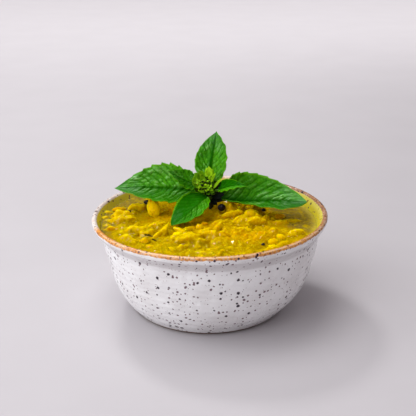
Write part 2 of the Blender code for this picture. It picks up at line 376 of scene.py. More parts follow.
def bowl_profile():
    """The bowl's section from the middle of its floor, over the lip, to the middle of its underside.

    The second result is how far each place is past the lip's crest, negative on the inner side."""
    lip = lip_arc()
    outside = smooth_curve([lip[-1], *OUTER_WALL, (FOOT_RADIUS, 0.6)], 8)
    ring_inside = FOOT_RADIUS - FOOT_RING_WIDTH
    foot = [(FOOT_RADIUS - 0.5, 0.0), (ring_inside + 0.5, 0.0), (ring_inside - 0.4, 0.5),
            (ring_inside - FOOT_RECESS, FOOT_RECESS), (1.0, FOOT_RECESS)]
    even, along = even_spacing(np.concatenate([inner_profile()[1:-1], lip, outside[1:], foot]), RING_GAP)
    return even, along - along[np.argmax(even[:, 1])]


def make_bowl():
    profile, past_lip = bowl_profile()
    angles = np.linspace(0, 2 * np.pi, TURN_STEPS, endpoint=False)
    radius, height, past = (np.repeat(values, TURN_STEPS) for values in (*profile.T, past_lip))
    turn = np.tile(angles, len(profile))
    around = np.stack([np.cos(turn), np.sin(turn), 0 * turn], 1)
    slow = around * 1.6 + np.stack([0 * turn, 0 * turn, height / 40], 1)
    walls = smoothstep(2, 12, height) * smoothstep(8, 20, radius)
    rings = np.sin(2 * np.pi * (height + turn / np.pi) / THROWING_PITCH + 2 * smooth_random(slow, 0.8, 3))
    body = walls * (1 - smoothstep(43, 48, height))
    radius = radius + walls * OUT_OF_ROUND * smooth_random(slow, 1.0, 5) + body * THROWING_RINGS * rings
    pushed = np.interp(height, *zip(*PUSHED)) * smoothstep(0, 2, past) * smoothstep(10, 35, radius)
    x, y = radius * np.cos(turn) + pushed, radius * np.sin(turn)
    z = height + lean_at(x, height) + LIP_UNEVEN * smoothstep(50, 54, height) * smooth_random(around, 0.35, 7)
    places = np.stack([x, y, z], 1)
    faces = turned_faces(len(profile), TURN_STEPS, first=len(places), last=len(places) + 1)
    places = np.concatenate([places, [(0, 0, FLOOR_HEIGHT), (0, 0, FOOT_RECESS)]])
    # The lip's share of tan round the bowl, with painted light in it: pale at the left, shaded brown on the
    # right.
    tan = np.interp(np.degrees(np.arctan2(places[:, 1], places[:, 0])), *zip(*LIP_TAN_AND_PAINTED_LIGHT))
    attributes = {"past_lip": np.r_[past, past_lip[0], past_lip[-1]], "lip_tan_and_painted_light": tan}
    part = (places, [face[::-1] for face in faces], attributes)
    make_piece("bowl_stoneware", [part], glaze_material(), "speckled_glaze", "bowl")


def glaze_material():
    """White glaze with iron specks, breaking to tan on the lip, over a brown clay foot."""
    s = Shader("speckled_glaze", Roughness=0.3, Specular_IOR_Level=0.5)
    past, lip_tan_and_painted_light = s.attribute("past_lip"), s.attribute("lip_tan_and_painted_light")

    # Painted shade greys the glaze in the hollow under the lip. The inner wall is stained by the broth,
    # palest just under the lip.
    hollow_shade = s.height_step(*HOLLOW_TOP) * s.height_step(*HOLLOW_BOTTOM)
    stain = s.painted(PALE_STAIN, (s.height_step(*STAIN_EDGE), STAIN),
                      (s.noise(0.9, 3).step(0.45, 0.7) * 0.6, STAIN_GRAIN))

    # The lip: tan where the glaze is thin, with a cream line along the crest that is partly a painted
    # highlight.
    # It is bare of tan at the left, partly as a painted highlight, and painted shade browns it on the right.
    edge = past + (s.noise(2.2, 3) - 0.5) * 1.4
    reach = s.noise(14, 1) * 1.7 + 2.1
    band = edge.step(*TAN_START) * (reach - edge).step(-0.1, 0.4)
    share = (lip_tan_and_painted_light + s.noise(3.5) * 0.5).step(0.45, 0.85)
    pale = s.mix(s.noise(2.5, 3).step(0.4, 0.65), LIP_CREAM, LIP_PINK)
    crest = edge.step(*CREST_RISE) * edge.step(*CREST_FALL) * s.noise(9, 1).step(0.36, 0.50)
    worn = lip_tan_and_painted_light.step(0.6, 1.1) * s.noise(1.3, 3).step(0.50, 0.62)
    tan = s.painted(BURNT_TAN, (s.noise(1.4, 3).step(0.3, 0.7), TAN), (crest * 0.85, CREST_CREAM_AND_HIGHLIGHT),
                    (lip_tan_and_painted_light.step(0.95, 1.3) * 0.8, PAINTED_SHADE_TAN), (worn * 0.6, WORN_TAN))

    # Iron specks, from fine pale ones to large black ones with a halo, and bare clay at the foot.
    specks, halo = (s.specks(2.9, largest, 0.8, small_share=1.9) for largest in (1.00, 1.22))
    clay = s.height_step(*CLAY_EDGE, s.noise(3) * 0.8)
    colour = s.painted(
        GLAZE,
        (s.noise(14, 4).step(0.35, 0.7), GREYER_GLAZE),
        (hollow_shade * 0.45, HOLLOW_SHADE_GREY),
        (past.step(*INSIDE_EDGE), stain),
        (band * 0.8, pale),
        (band * share, tan),
        (band * s.specks(2.0, 0.85, 0.9, 0.021) * 0.75, LIP_BLOT),
        (s.specks(1.5, 0.42, 0.5, 0.05) * 0.35, FINE_SPECK),
        (s.specks(2.1, 0.76, 0.6, 0.033) * 0.88, MEDIUM_SPECK),
        (halo * 0.35, SPECK_HALO),
        (specks, LARGE_SPECK),
        (clay, CLAY),
    )
    rough = (clay + specks * 0.3).step(0.0, 1.0, 0.26, 0.85)
    relief = s.noise(5) + s.noise(0.9) * 0.08
    return s.feed(Base_Color=colour, Roughness=rough, Normal=s.bump(relief, 0.5))


# ---------------------------------------------------------------- dal

HEAP_RISE = 0.55
# Where the broth stands clear of the heap, and where the heap has hollows that hold thick sauce:
# (x, y, reach along X, reach along Y, depth).
POOLS = [
    (58, 4, 15, 20, 2.6), (50, 24, 16, 16, 2.0), (-60, 8, 14, 26, 2.7), (-48, 30, 16, 14, 2.2),
    (0, 56, 40, 8, 1.5),
]
HOLLOWS = [
    (-4, 6, 12, 9, 2.4), (-37, 1, 7, 6, 2), (38, -8, 9, 5, 0.9), (-48, -40, 10, 9, 0.8),
    (46, -36, 12, 9, 0.7), (6, -44, 14, 6, 0.9), (-25, -33, 9, 5, 0.9), (10, -20, 5, 5, 0.6),
]
# Where the dal is a deeper orange, partly its own colour and partly painted light that warms the shade
# under the leaves, with the share of it in place of the depth.
WARM_AND_SHADE_TINT = [
    (-6, -5, 12, 14, 1), (-23, 10, 9, 15, 1), (19, -27, 18, 9, 0.8), (16, 8, 14, 9, 0.7),
    (35, -2, 12, 11, 0.6),
]
# The mash's puffs: their size in mm and their share of the height.
PUFFS = [(8.5, 1.0), (4.2, 0.60), (2.1, 0.42)]
PUFF_HEIGHT = 5.4
TOP_RINGS = 130
TOP_TURNS = 400
TOP_DEPTH = 3.4
VOXEL = 0.48
FUSE_SMOOTHING = 4
HOLLOW_SMOOTHING = (60, 10)
GRAIN_HEIGHT = 0.34
# How high the broth creeps up the bowl's wall, and how far in that reaches.
CREEP_HEIGHT = 0.25
CREEP_REACH = 1.6
# How the body goes down along the bowl's wall under its finely made top.
BODY_LEVELS = (42.0, 34.0, 26.0, 18.0, 12.0)
BODY_BOTTOM = 8.0

# Soft lumps of mashed pea that stand out, each from one end to the other: (x, y, height over the broth)
# twice, how thick it is at either end, and its tone, from bright yellow to orange.
LUMPS_SHOWN = [
    ((-51.5, 3.5, 1), (-46.5, 3, 1.8), 3.4, 3, 0.15),
    ((-46.5, -2.5, 0.7), (-42.5, -1.5, 1.2), 3, 2.4, 0.1),
    ((-53, -2, 0.2), (-49, -3, 0.8), 2.4, 2.6, 0.3),
    ((-43.5, 15.5, 0.8), (-38.5, 16.5, 1.3), 3.4, 3, 0.1),
    ((-42, -20.5, 0.8), (-35, -19, 1.2), 3.4, 3, 0.1),
    ((-36, -24, 0.7), (-31.5, -21.5, 1.4), 2.4, 2.2, 0.05),
    ((-46.5, -29.5, 0.6), (-39, -33, 0.8), 2.6, 2.8, 0.1),
    ((-54.5, -14, -0.6), (-50.5, -14, -0.4), 2.4, 2.6, 0.95),
    ((-29, -27, 0.9), (-26.5, -23.5, 2.4), 1.5, 1.1, 0.05),
    ((-25.2, -22.5, 0.4), (-22.8, -18.8, 4.2), 2.6, 0.9, 0),
    ((-10.5, -26.5, 1), (-17.6, -22.4, 3.5), 2.8, 1, 0),
    ((-17.5, -32, 0.7), (-8, -32.5, 1.6), 3, 3.6, 0.1),
    ((-14, -27.5, 1.5), (-8.5, -29.5, 2), 2.4, 2.6, 0.15),
    ((-3.5, -26, 1.9), (2, -27.5, 1.4), 2.8, 3, 0.15),
    ((-5, -24.6, 3.3), (0.8, -23.4, 3.8), 0.9, 1.2, 0),
    ((2.5, -28.5, 0.8), (9, -26, 0.7), 3.2, 3.4, 0.6),
    ((8, -0.5, 3.2), (17, 2, 4), 1.9, 1.2, 0),
    ((22.5, -7.5, 1.7), (29.5, -6.5, 2.4), 3, 2.4, 0.05),
    ((15, -6.5, 1.3), (20.5, -5, 1.6), 3.2, 3.2, 0.25),
    ((29.5, -2.5, 1.6), (33, -0.5, 2), 1.8, 1.4, 0.1),
    ((3.4, -16.5, 0.6), (8.6, -8, 2.5), 2, 1.5, 0),
    ((6, -36.5, 0.6), (8.8, -33.2, 2), 1.9, 1.2, 0),
    ((9.8, -42.5, 0.5), (11, -42, 0.8), 1.1, 1, 0),
    ((15.2, -48.6, 0.3), (16.8, -48, 0.5), 1.1, 1, 0),
    ((-8, -46, 0), (0, -48.5, 0.1), 1.6, 2.2, 0.1),
    ((37, -4.6, 0), (42, -4, 0), 2.2, 1.6, 0.1),
    ((41.5, -1, -0.3), (50, -0.5, -0.4), 1.8, 1.6, 0.1),
    ((43.5, -22.5, 0.5), (48.5, -20.5, 0.6), 2.4, 1.8, 0),
    ((36, -35.2, 0.4), (40, -33, 0.7), 1.3, 1, 0),
    ((29.5, -42.8, 0.2), (34, -41, 0.3), 2, 1.8, 0.2),
    ((-59.5, 12, -0.3), (-57, 12.6, -0.2), 1.3, 1.2, 0.4),
    ((-59.6, 3.8, -0.3), (-58.4, 4.4, -0.3), 1.2, 1.1, 0.2),
    ((-57.8, 0.6, -0.3), (-55, 0.8, -0.3), 0.9, 0.9, 0),
    ((-57, -7.6, -0.3), (-55.6, -7.4, -0.3), 1, 1, 0),
]
LUMPS_BETWEEN = 45
LUMP_DETAIL = 3
LUMP_RAGGED = 0.40

YELLOW = (0.60, 0.415, 0.0)
PAINTED_LIGHT_YELLOW = (0.76, 0.55, 0.0)
PEA_YELLOW = (0.84, 0.57, 0.0)
DEEP_YELLOW = (0.43, 0.265, 0.0)
ORANGE = (0.54, 0.25, 0.0)
WARM_AND_SHADE_ORANGE = (0.54, 0.26, 0.0)
PALE = (0.84, 0.66, 0.01)
SAUCE = (0.335, 0.222, 0.0)
AMBER_SAUCE_AND_SHADE = (0.30, 0.135, 0.0)
BROTH = (0.118, 0.089, 0.023)
SUNKEN = (0.34, 0.245, 0.003)
SHORE_AND_PAINTED_LIGHT = (0.52, 0.43, 0.05)


def sunk(dips, x, y):
    return sum(depth * np.exp(-((x - cx) / wx) ** 2 - ((y - cy) / wy) ** 2) for cx, cy, wx, wy, depth in dips)


def region_height(x, y):
    """The smooth height of the heap over the broth's level, in mm. Where it is negative, it is sunk."""
    lift = sum(h * np.exp(-((x - cx) ** 2 + (y - cy) ** 2) / r**2) for cx, cy, r, h in LUMPS)
    return lift + HEAP_RISE - sunk(POOLS, x, y) - sunk(HOLLOWS, x, y)


def sauce_height(x, y):
    """The height of the mash over the broth's level: puffs in three sizes, with creases between them."""
    flat = np.stack([x * 1.1, y * 0.62, 0 * x], -1)
    bent = flat + 1.3 * np.stack([smooth_random(flat, 4.0, 31), smooth_random(flat, 4.0, 32), 0 * x], -1)
    puffs = sum(np.abs(smooth_random(bent, size, 41 + i)) * share for i, (size, share) in enumerate(PUFFS))
    base = region_height(x, y)
    rugged = 0.45 + 0.75 * smoothstep(-0.35, 0.45, smooth_random(flat, 15.0, 47))
    return base + PUFF_HEIGHT * rugged * smoothstep(-0.8, 2.0, base) * (puffs - 0.5)


def scattered(rng, count, reach, least):
    """Random places in the bowl where the smooth heap isn't sunk deeper than the broth takes."""
    found = []
    while len(found) < count:
        x, y = rng.uniform(-reach, reach, 2)
        if math.hypot(x, y) < reach and region_height(x, y) + rng.uniform(-0.4, 0.4) > least:
            found.append((x, y))
    return found


def broth_radius():
    wall = inner_profile()
    return np.interp(BROTH_LEVEL, wall[:, 1], wall[:, 0]) + 0.35


def sauce_top():
    """The sauce and the broth round it as a thick closed disc, in (places, faces)."""
    radius = np.linspace(broth_radius(), 0, TOP_RINGS + 1)[:-1]
    turns = np.linspace(0, 2 * np.pi, TOP_TURNS, endpoint=False)
    reach, turn = np.repeat(radius, TOP_TURNS), np.tile(turns, TOP_RINGS)
    x, y = reach * np.cos(turn), reach * np.sin(turn)
    heap = sauce_height(x, y) - 2.0 * (1 - smoothstep(0.5, 6.0, broth_radius() - reach))
    soft = 0.2
    top = BROTH_LEVEL + np.logaddexp(heap / soft, 0) * soft
    under = np.stack([x[:TOP_TURNS], y[:TOP_TURNS], np.full(TOP_TURNS, BROTH_LEVEL - TOP_DEPTH)], 1)
    middle = [(0, 0, BROTH_LEVEL + sauce_height(0.0, 0.0)), (0, 0, BROTH_LEVEL - TOP_DEPTH)]
    places = np.concatenate([under, np.stack([x, y, top], 1), middle])
    return places, turned_faces(TOP_RINGS + 1, TOP_TURNS, first=len(places) - 1, last=len(places) - 2)


def unit_ball(detail):
    """An even ball of triangles, as places and faces."""
    shape = bmesh.new()
    bmesh.ops.create_icosphere(shape, subdivisions=detail, radius=1)
    made = as_arrays(shape)
    shape.free()
    return made


def as_arrays(shape):
    """A bmesh's places and faces."""
    return np.array([v.co[:] for v in shape.verts]), [tuple(v.index for v in f.verts) for f in shape.faces]


def lump(ball, start, end, thick, seed):
    """A soft lump from one place to another, with a radius at each end, its surface broken up."""
    places, faces = ball
    start, end = (np.array(p, float) for p in (start, end))
    length = np.linalg.norm(end - start)
    along = (end - start) / length
    side = crossing(along, np.array([0.02, 0.01, 1.0]))
    up = crossing(side, along)
    x, y, z = places.T
    radius = thick[0] + (thick[1] - thick[0]) * (x + 1) / 2
    shaped = ((start + end) / 2 + along * (x * (length + sum(thick)) / 2)[:, None]
              + side * (y * radius)[:, None] + up * (z * radius * 1.05)[:, None])
    rumple = roughened(places * sum(thick) / 2 + seed * 7.7, 1.8, 91)
    middle = shaped.mean(axis=0)
    return middle + (shaped - middle) * (1 + LUMP_RAGGED * rumple)[:, None], faces


def lumps_between(rng):
    """Smaller lumps at random, most of them where the heap is high, as rows like those of LUMPS_SHOWN."""
    rows = []
    for x, y in scattered(rng, LUMPS_BETWEEN, 58.0, 0.0):
        bold = smoothstep(0.4, 2.6, region_height(x, y))
        size = rng.uniform(0.9, 2.0) + 1.4 * bold * rng.random()
        heading, length = rng.uniform(0, 2 * math.pi), size * rng.uniform(0.3, 1.4)
        rise = sauce_height(x, y) - size * rng.uniform(0.3, 0.9) + 0.2
        slope = rng.normal(0, 0.35) * bold * length
        step = 0.5 * length * np.array([math.cos(heading), math.sin(heading), 0])
        middle = np.array([x, y, rise])
        tone = rng.random() ** 2
        rows.append((middle - step, middle + step + (0, 0, slope), size, size * rng.uniform(0.5, 1.0), tone))
    return rows


def fused(places, faces):
    """One skin round closed shapes that overlap, as a bmesh in mm."""
    mesh = bpy.data.meshes.new("fusing")
    mesh.from_pydata(places.tolist(), [], faces)
    piece = add_object("fusing", mesh)
    remesh = piece.modifiers.new("fuse", "REMESH")
    remesh.mode = "VOXEL"
    remesh.voxel_size = VOXEL
    skin = bmesh.new()
    skin.from_mesh(piece.evaluated_get(bpy.context.evaluated_depsgraph_get()).data)
    bpy.data.objects.remove(piece)
    bpy.data.meshes.remove(mesh)
    return skin


def extend_down(skin):
    """Cut the fused top off under the broth and carry its edge down along the bowl's wall to a flat end."""
    low = [v for v in skin.verts if v.co.z < BROTH_LEVEL - TOP_DEPTH + 3 * VOXEL]
    bmesh.ops.delete(skin, geom=low, context="VERTS")
    wall = inner_profile()
    edges = [e for e in skin.edges if e.is_boundary]
    for level in BODY_LEVELS:
        reach = np.interp(level, wall[:, 1], wall[:, 0]) + 0.2
        made = bmesh.ops.extrude_edge_only(skin, edges=edges)["geom"]
        for vert in (v for v in made if isinstance(v, bmesh.types.BMVert)):
            scale = reach / math.hypot(vert.co.x, vert.co.y)
            vert.co = (vert.co.x * scale, vert.co.y * scale, level)
        edges = [e for e in made if isinstance(e, bmesh.types.BMEdge)]
    made = bmesh.ops.extrude_edge_only(skin, edges=edges)["geom"]
    ends = [v for v in made if isinstance(v, bmesh.types.BMVert)]
    bmesh.ops.pointmerge(skin, verts=ends, merge_co=(0, 0, BODY_BOTTOM))


def averaged(values, edges, rounds):
    """Values at the ends of these edges, each averaged with its neighbours', this many times."""
    first, second = edges.T
    count = len(values)
    share = 1 / (1 + np.bincount(first, minlength=count) + np.bincount(second, minlength=count))
    for _ in range(rounds):
        near = np.bincount(first, values[second], count) + np.bincount(second, values[first], count)
        values = (values + near) * share
    return values


def make_dal():
    """The broth, and the sauce and lumps fused in it, as one closed body that fills the bowl."""
    ball = unit_ball(LUMP_DETAIL)
    parts = [(*sauce_top(), {"lump": 0.0, "tone": 0.0})]
    for i, (start, end, *thick, tone) in enumerate(LUMPS_SHOWN + lumps_between(np.random.default_rng(11))):
        places, faces = lump(ball, start, end, thick, i)
        parts.append((places + (0, 0, BROTH_LEVEL), faces, {"lump": 1.0, "tone": tone}))
    made_of, faces, source = joined(parts)
    skin = fused(made_of, faces)
    extend_down(skin)
    places, faces = as_arrays(skin)
    edges = np.array([[v.index for v in e.verts] for e in skin.edges])
    skin.free()

    # Each place takes its attributes from the nearest place of what was fused.
    nearest = KDTree(len(made_of))
    for i, place in enumerate(made_of):
        nearest.insert(place, i)
    nearest.balance()
    found = [nearest.find(place)[1] for place in places]
    is_lump, tone = (averaged(source[key][found], edges, 2) for key in ("lump", "tone"))

    # x, y and z are views of places: only the finely made top is smoothed and roughened.
    x, y, z = places.T
    fine = z > BROTH_LEVEL - 1.5
    for values in (x, y, z):
        values[:] = np.where(fine, averaged(values, edges, FUSE_SMOOTHING), values)
    above = z - BROTH_LEVEL
    solid = smoothstep(0.05, 0.5, above)
    grain = GRAIN_HEIGHT * roughened(places, 1.9, 51) * (0.6 + 0.4 * is_lump)
    z += np.where(fine, solid * grain, 0)
    gap = broth_radius() - np.hypot(x, y)
    z += np.where(fine, CREEP_HEIGHT * np.exp(-gap / CREEP_REACH), 0)
    wide, near = (averaged(z, edges, rounds) for rounds in HOLLOW_SMOOTHING)
    attributes = {
        "above": above, "lump": is_lump, "tone": tone, "warm_and_shade_tint": sunk(WARM_AND_SHADE_TINT, x, y),
        # How deep a place lies in a crease, for the painted shade and light in the dal's colour.
        "hollow": (1.2 * wide + 0.5 * near - 1.7 * z) * solid,
        "clear": smoothstep(0.3, 1.2, sunk(POOLS, x, y)),
        # Paler thin broth by the wall, painted stronger on the right, where the wall is lit, than on the
        # shaded left.
        "shore_and_painted_light": smoothstep(5.5, 0.2, gap) * (0.2 + 0.8 * smoothstep(-20, 30, x)),
    }
    make_piece("dal_body", [(places, faces, attributes)], dal_material(), "dal", "dal")


def food_shader(name, roughness):
    """A shader for cooked peas: light sinks in a little, and a wet film lies on top."""
    s = Shader(name, Roughness=roughness, Specular_IOR_Level=0.0, Coat_Roughness=0.06, Subsurface_Weight=0.8,
               Subsurface_Radius=(1.0, 0.75, 0.05), Subsurface_Scale=3.8 * MM)
    s.feed(Coat_Weight=s.noise(1.6).step(0.55, 0.60) * 0.8, Coat_Normal=s.bump(s.noise(1.2, 1), 0.16))
    return s


def mealy(s):
    """The grain of cooked peas."""
    return s.noise(0.9, 3) + s.noise(2.6) * 0.8


def dal_material():
    s = food_shader("dal", 0.3)
    hollow = s.attribute("hollow")
    sauce = s.mix(s.noise(3.5, 4).step(0.35, 0.65), SAUCE, DEEP_YELLOW)
    soft = s.painted(YELLOW, (s.attribute("tone") * 0.8, ORANGE),
                     (s.noise(2.0, 4).step(0.50, 0.8), DEEP_YELLOW))
    wet = (s.attribute("above") + s.noise(1.5) * 0.25).step(0.35, 0.0)
    thin_broth = s.mix(s.noise(6).step(0.48, 0.68), BROTH, SUNKEN)
    thick_broth = s.mix(s.noise(4, 3).step(0.35, 0.65), AMBER_SAUCE_AND_SHADE, SAUCE)
    colour = s.painted(
        sauce,
        (s.attribute("lump"), soft),
        # A deeper orange, partly painted light that warms the shade under the leaves.
        (s.math("MINIMUM", s.attribute("warm_and_shade_tint"), 0.9), WARM_AND_SHADE_ORANGE),
        # Painted shade in the creases, partly the thick sauce that lies there, and painted light on the
        # crests.
        (hollow.step(0.0, 1.7), AMBER_SAUCE_AND_SHADE),
        (hollow.step(-0.4, -1.8), PAINTED_LIGHT_YELLOW),
        (s.noise(1.1, 3).step(0.50, 0.72) * 0.40, PALE),
        (s.noise(1.4, 3).step(0.50, 0.30) * 0.18, AMBER_SAUCE_AND_SHADE),
        (wet, s.mix(s.attribute("clear"), thick_broth, thin_broth)),
        # Paler broth by the wall, with painted light stronger on the lit right side.
        (s.attribute("shore_and_painted_light") * 0.6, SHORE_AND_PAINTED_LIGHT),
    )
    relief = s.bump(mealy(s) * (1.0 - wet), 0.45)
    return s.feed(Base_Color=colour, Roughness=wet.step(0.0, 1.0, 0.36, 0.10), Normal=relief)


# ---------------------------------------------------------------- basil

LEAF_THICKNESS = 0.36
# The leaves, as in the frame. The midrib is a cubic Bezier curve. What comes in pairs is for the right side
# and the left, as the leaf is seen from its base: the width, where it is widest, the fullness, the angles
# that it rises at from base to tip, how quilted it is, and how much painted shade darkens its green, from
# base to tip and then in the fold. The rest is the share of the midrib that is stalk, the count of teeth and
# their depth, the count of side veins and how far they sweep forward, and a seed.
Leaf = namedtuple("Leaf", "midrib width widest full rise petiole teeth tooth quilt deep fold veins sweep seed")
LEAVES = {
    "basil_leaf_left": Leaf(
        [(-2.6, 17, 60), (-15, 18, 61), (-34, 17.5, 63), (-53.8, 14.5, 62.6)],
        (15.6, 13.4), (0.44, 0.45), (2.2, 1.65), ((55, 39), (-22, -11)), 0.1, 8, 0.085, (1.2, 0.8),
        ((0.3, 0.15), (0.75, 0.5)), (0, 0.3), 10.5, 0.4, 1,
    ),
    "basil_leaf_right": Leaf(
        [(4, 17, 56.5), (8.6, 15.3, 52), (36.3, 8.9, 57.7), (54.3, 3, 58.4)],
        (13.4, 16.9), (0.68, 0.36), (2.3, 1.5), ((27, -7), (80, 46)), 0.1, 8, 0.06, (0.8, 1.1),
        ((0.3, 1), (0.75, 0.15)), (0.5, 0.5), 9.5, 0.45, 2,
    ),
    "basil_leaf_back": Leaf(
        [(0.5, 20, 59.5), (-1.1, 23.5, 65.3), (3.1, 30.4, 81.3), (4, 30.5, 91.5)],
        (10, 10), (0.48, 0.46), (1.25, 2), ((16, 4), (14, 15)), 0.12, 7, 0.035, (0.4, 1.1),
        ((0.1, 0.1), (0.4, 0.45)), (0, 0.8), 7, 0.55, 3,
    ),
    "basil_leaf_front": Leaf(
        [(1, 13.2, 57.3), (-2.7, 5.5, 61.1), (-7.3, -5, 56.8), (-20.4, -15.5, 51.6)],
        (11.5, 7.3), (0.49, 0.58), (1.3, 2.6), ((27, -3), (17, -11)), 0.1, 9, 0.06, (0.4, 0.8),
        ((1, 0.8), (0.1, 0.3)), (0, 0), 8, 0.4, 4,
    ),
    "basil_leaf_inner_left": Leaf(
        [(-6.6, 14.5, 65.8), (-10, 13, 64.4), (-18.4, 11.1, 70.7), (-23.3, 9, 74.3)],
        (7.3, 6.5), (0.38, 0.46), (1.8, 1.85), ((63, 39), (-36, -9)), 0.05, 6, 0.05, (0.7, 0.5),
        ((0.6, 0.3), (0.85, 0.6)), (0, 0.2), 6.5, 0.4, 5,
    ),
    "basil_leaf_inner_right": Leaf(
        [(4.4, 12.3, 62), (7.5, 9.6, 63.6), (14.4, 6.5, 68.4), (21.1, 4.5, 66.9)],
        (4.8, 5.3), (0.46, 0.3), (1.85, 1.9), ((-13, -2), (68, 34)), 0.05, 6, 0.04, (0.3, 0.5),
        ((0, 0), (1, 0.7)), (0.2, 0.3), 6.5, 0.4, 6,
    ),
}
SHADED_LEAVES = ("basil_leaf_front", "basil_leaf_inner_right")
LEAF_ROWS = 130
LEAF_COLUMNS = 49
# Where along the blade the teeth start and end.
TOOTHED = (0.10, 0.90)
LEAST_HALF_WIDTH = 0.18
LEAF_ARCH = 0.10
RIM_RIPPLE = 0.35
# The veins: how far they wander and how far the sides are out of step, in spaces between two side veins,
# how many cross veins there are from midrib to rim, and how deep the midrib lies in mm.
VEIN_WANDER = 0.26
VEIN_STAGGER = 0.23
CROSS_VEINS = 4.4
MIDRIB_DEPTH = 0.35

STEM_PATH = [(1.4, 17.0, 43.8), (1.0, 16.9, 50.5), (0.5, 16.8, 55.5), (0.1, 16.7, 59.9), (-0.2, 16.6, 66.0)]
STEM_RADII = (1.5, 1.5, 1.4, 1.3, 0.8)
STALK_RADII = (0.8, 0.75, 0.6, 0.25)
STALK_SIDES = 12
# The heights in mm that the stalks go from green to black between.
STALK_SHADE = (63.5, 57.5)

LEAF_GREEN = (0.105, 0.385, 0.0)
TIP_GREEN = (0.056, 0.320, 0.012)
PAINTED_SHADE_GREEN = (0.010, 0.120, 0.0)
PATCH_GREEN = (0.012, 0.140, 0.0)
PAINTED_SHEEN_GREEN = (0.155, 0.450, 0.050)
VEIN_GROOVE_SHADE = (0.007, 0.080, 0.0)
RIM_GREEN_AND_HIGHLIGHT = (0.13, 0.38, 0.004)
STALK_GREEN = (0.08, 0.24, 0.008)
STALK_BLACK = (0.002, 0.007, 0.002)
BUD_GREEN = (0.14, 0.44, 0.0)
YOUNG_AND_HIGHLIGHT_GREEN = (0.43, 0.80, 0.01)
TONE_GREEN = (0.30, 0.60, 0.01)
DULL_GREEN = (0.06, 0.20, 0.0)
GAP_SHADE_BLACK = (0.003, 0.008, 0.005)


def bezier(points, t):
    """Places on a cubic Bezier curve, and its directions there."""
    a, b, c, d = (np.array(p, float) for p in points)
    t = np.asarray(t, float)[:, None]
    u = 1 - t
    place = a * u**3 + b * 3 * t * u**2 + c * 3 * t**2 * u + d * t**3
    way = (b - a) * u**2 + (c - b) * 2 * t * u + (d - c) * t**2
    return place, way / np.linalg.norm(way, axis=1, keepdims=True)


def blade_width(share, widest, full):
    """A blade's width at this share of its length, as a share of its greatest width."""
    share = np.clip(share, 1e-6, 1 - 1e-6)
    return (share / widest) ** (full * widest) * ((1 - share) / (1 - widest)) ** (full * (1 - widest))


def leaf_places(leaf):
    """The leaf's upper face as a grid of places, its share of the length and width at each, and its up."""
    share = np.linspace(0, 1, LEAF_ROWS) ** 0.92
    across = np.linspace(-1, 1, LEAF_COLUMNS)
    across = np.sign(across) * np.abs(across) ** 1.15
    middle, along = bezier(leaf.midrib, leaf.petiole + (1 - leaf.petiole) * share)
    right = crossing(along, np.array([0, 0, 1.0]))
    up = crossing(right, along)
    start, end = TOOTHED
    saw = (share * leaf.teeth / (end - start)) % 1
    toothed = smoothstep(start, start + 0.08, share) * (1 - smoothstep(end - 0.08, end, share))
    places = np.zeros((LEAF_ROWS, LEAF_COLUMNS, 3))
    for j, v in enumerate(across):
        side, k = (1, 0) if v > 0 else (-1, 1)
        half = leaf.width[k] * blade_width(share, leaf.widest[k], leaf.full[k])
        jitter = 1 + 0.25 * math.sin(7.3 * leaf.seed + 3 * k)
        tooth = leaf.tooth * jitter * (saw ** 1.5 - 0.45) * toothed * abs(v) ** 3
        half = np.maximum(half * (1 + tooth), LEAST_HALF_WIDTH)
        angle = np.radians(leaf.rise[k][0] + (leaf.rise[k][1] - leaf.rise[k][0]) * share)[:, None]
        out = right * side * np.cos(angle) + up * np.sin(angle)
        lift = side * crossing(along, out)
        arch = LEAF_ARCH * half * 4 * abs(v) * (1 - abs(v))
        places[:, j] = middle + out * (half * abs(v))[:, None] + lift * arch[:, None]
    return places, share, across, up


def leaf_relief(leaf, s, v):
    """Height of the quilting between the veins, how near each place is to a vein, and the quilts' ridges."""
    a = np.abs(v)

    def field(along, over, shift):
        return np.stack([s * along, v * over, 0 * s + shift], -1)

    wander = smooth_random(field(9, 3, leaf.seed), 1.0, 71)
    rumple = roughened(field(14, 5, 3.7 * leaf.seed), 1.7, 73, 2)
    uneven = smooth_random(field(leaf.veins, 3.2, leaf.seed + 0.5), 1.1, 75)
    phase = leaf.veins * (s - leaf.sweep * a**1.2 * (1 - 0.45 * s)) + VEIN_WANDER * wander
    phase = phase + VEIN_STAGGER * (v > 0)
    lateral = np.abs(np.sin(np.pi * phase))
    cross_vein = np.abs(np.sin(np.pi * (CROSS_VEINS * a + 0.5 * np.floor(phase) + 0.6 * wander)))
    minor = np.abs(np.sin(np.pi * (2.0 * phase + 0.35 * a + 0.45 * wander)))
    body = smoothstep(0.0, 0.12, s) * (1 - smoothstep(0.72, 0.97, s)) * (1 - smoothstep(0.72, 1.0, a))
    blister = lateral**0.6 * (0.35 + 0.65 * cross_vein**0.7) * (0.75 + 0.55 * uneven)
    blister = blister * (0.45 + 0.65 * minor**0.8)
    midrib = np.exp(-(a * 9 / np.maximum(1 - 0.6 * s, 0.3)) ** 2)
    quilt = leaf.quilt[1] + (leaf.quilt[0] - leaf.quilt[1]) * smoothstep(-0.12, 0.12, v)
    relief = quilt * ((blister + 0.35 * rumple) * body) - MIDRIB_DEPTH * midrib * (1 - s)
    near_vein = np.maximum(np.exp(-(lateral / 0.22) ** 2) * (0.35 + 0.65 * body), midrib)
    near_vein = np.maximum(near_vein, 0.45 * np.exp(-(cross_vein / 0.2) ** 2) * body)
    ridge = smoothstep(0.40, 0.85, blister + 0.4 * rumple) * body * np.clip(quilt, 0, 1)
    return relief, near_vein, ridge


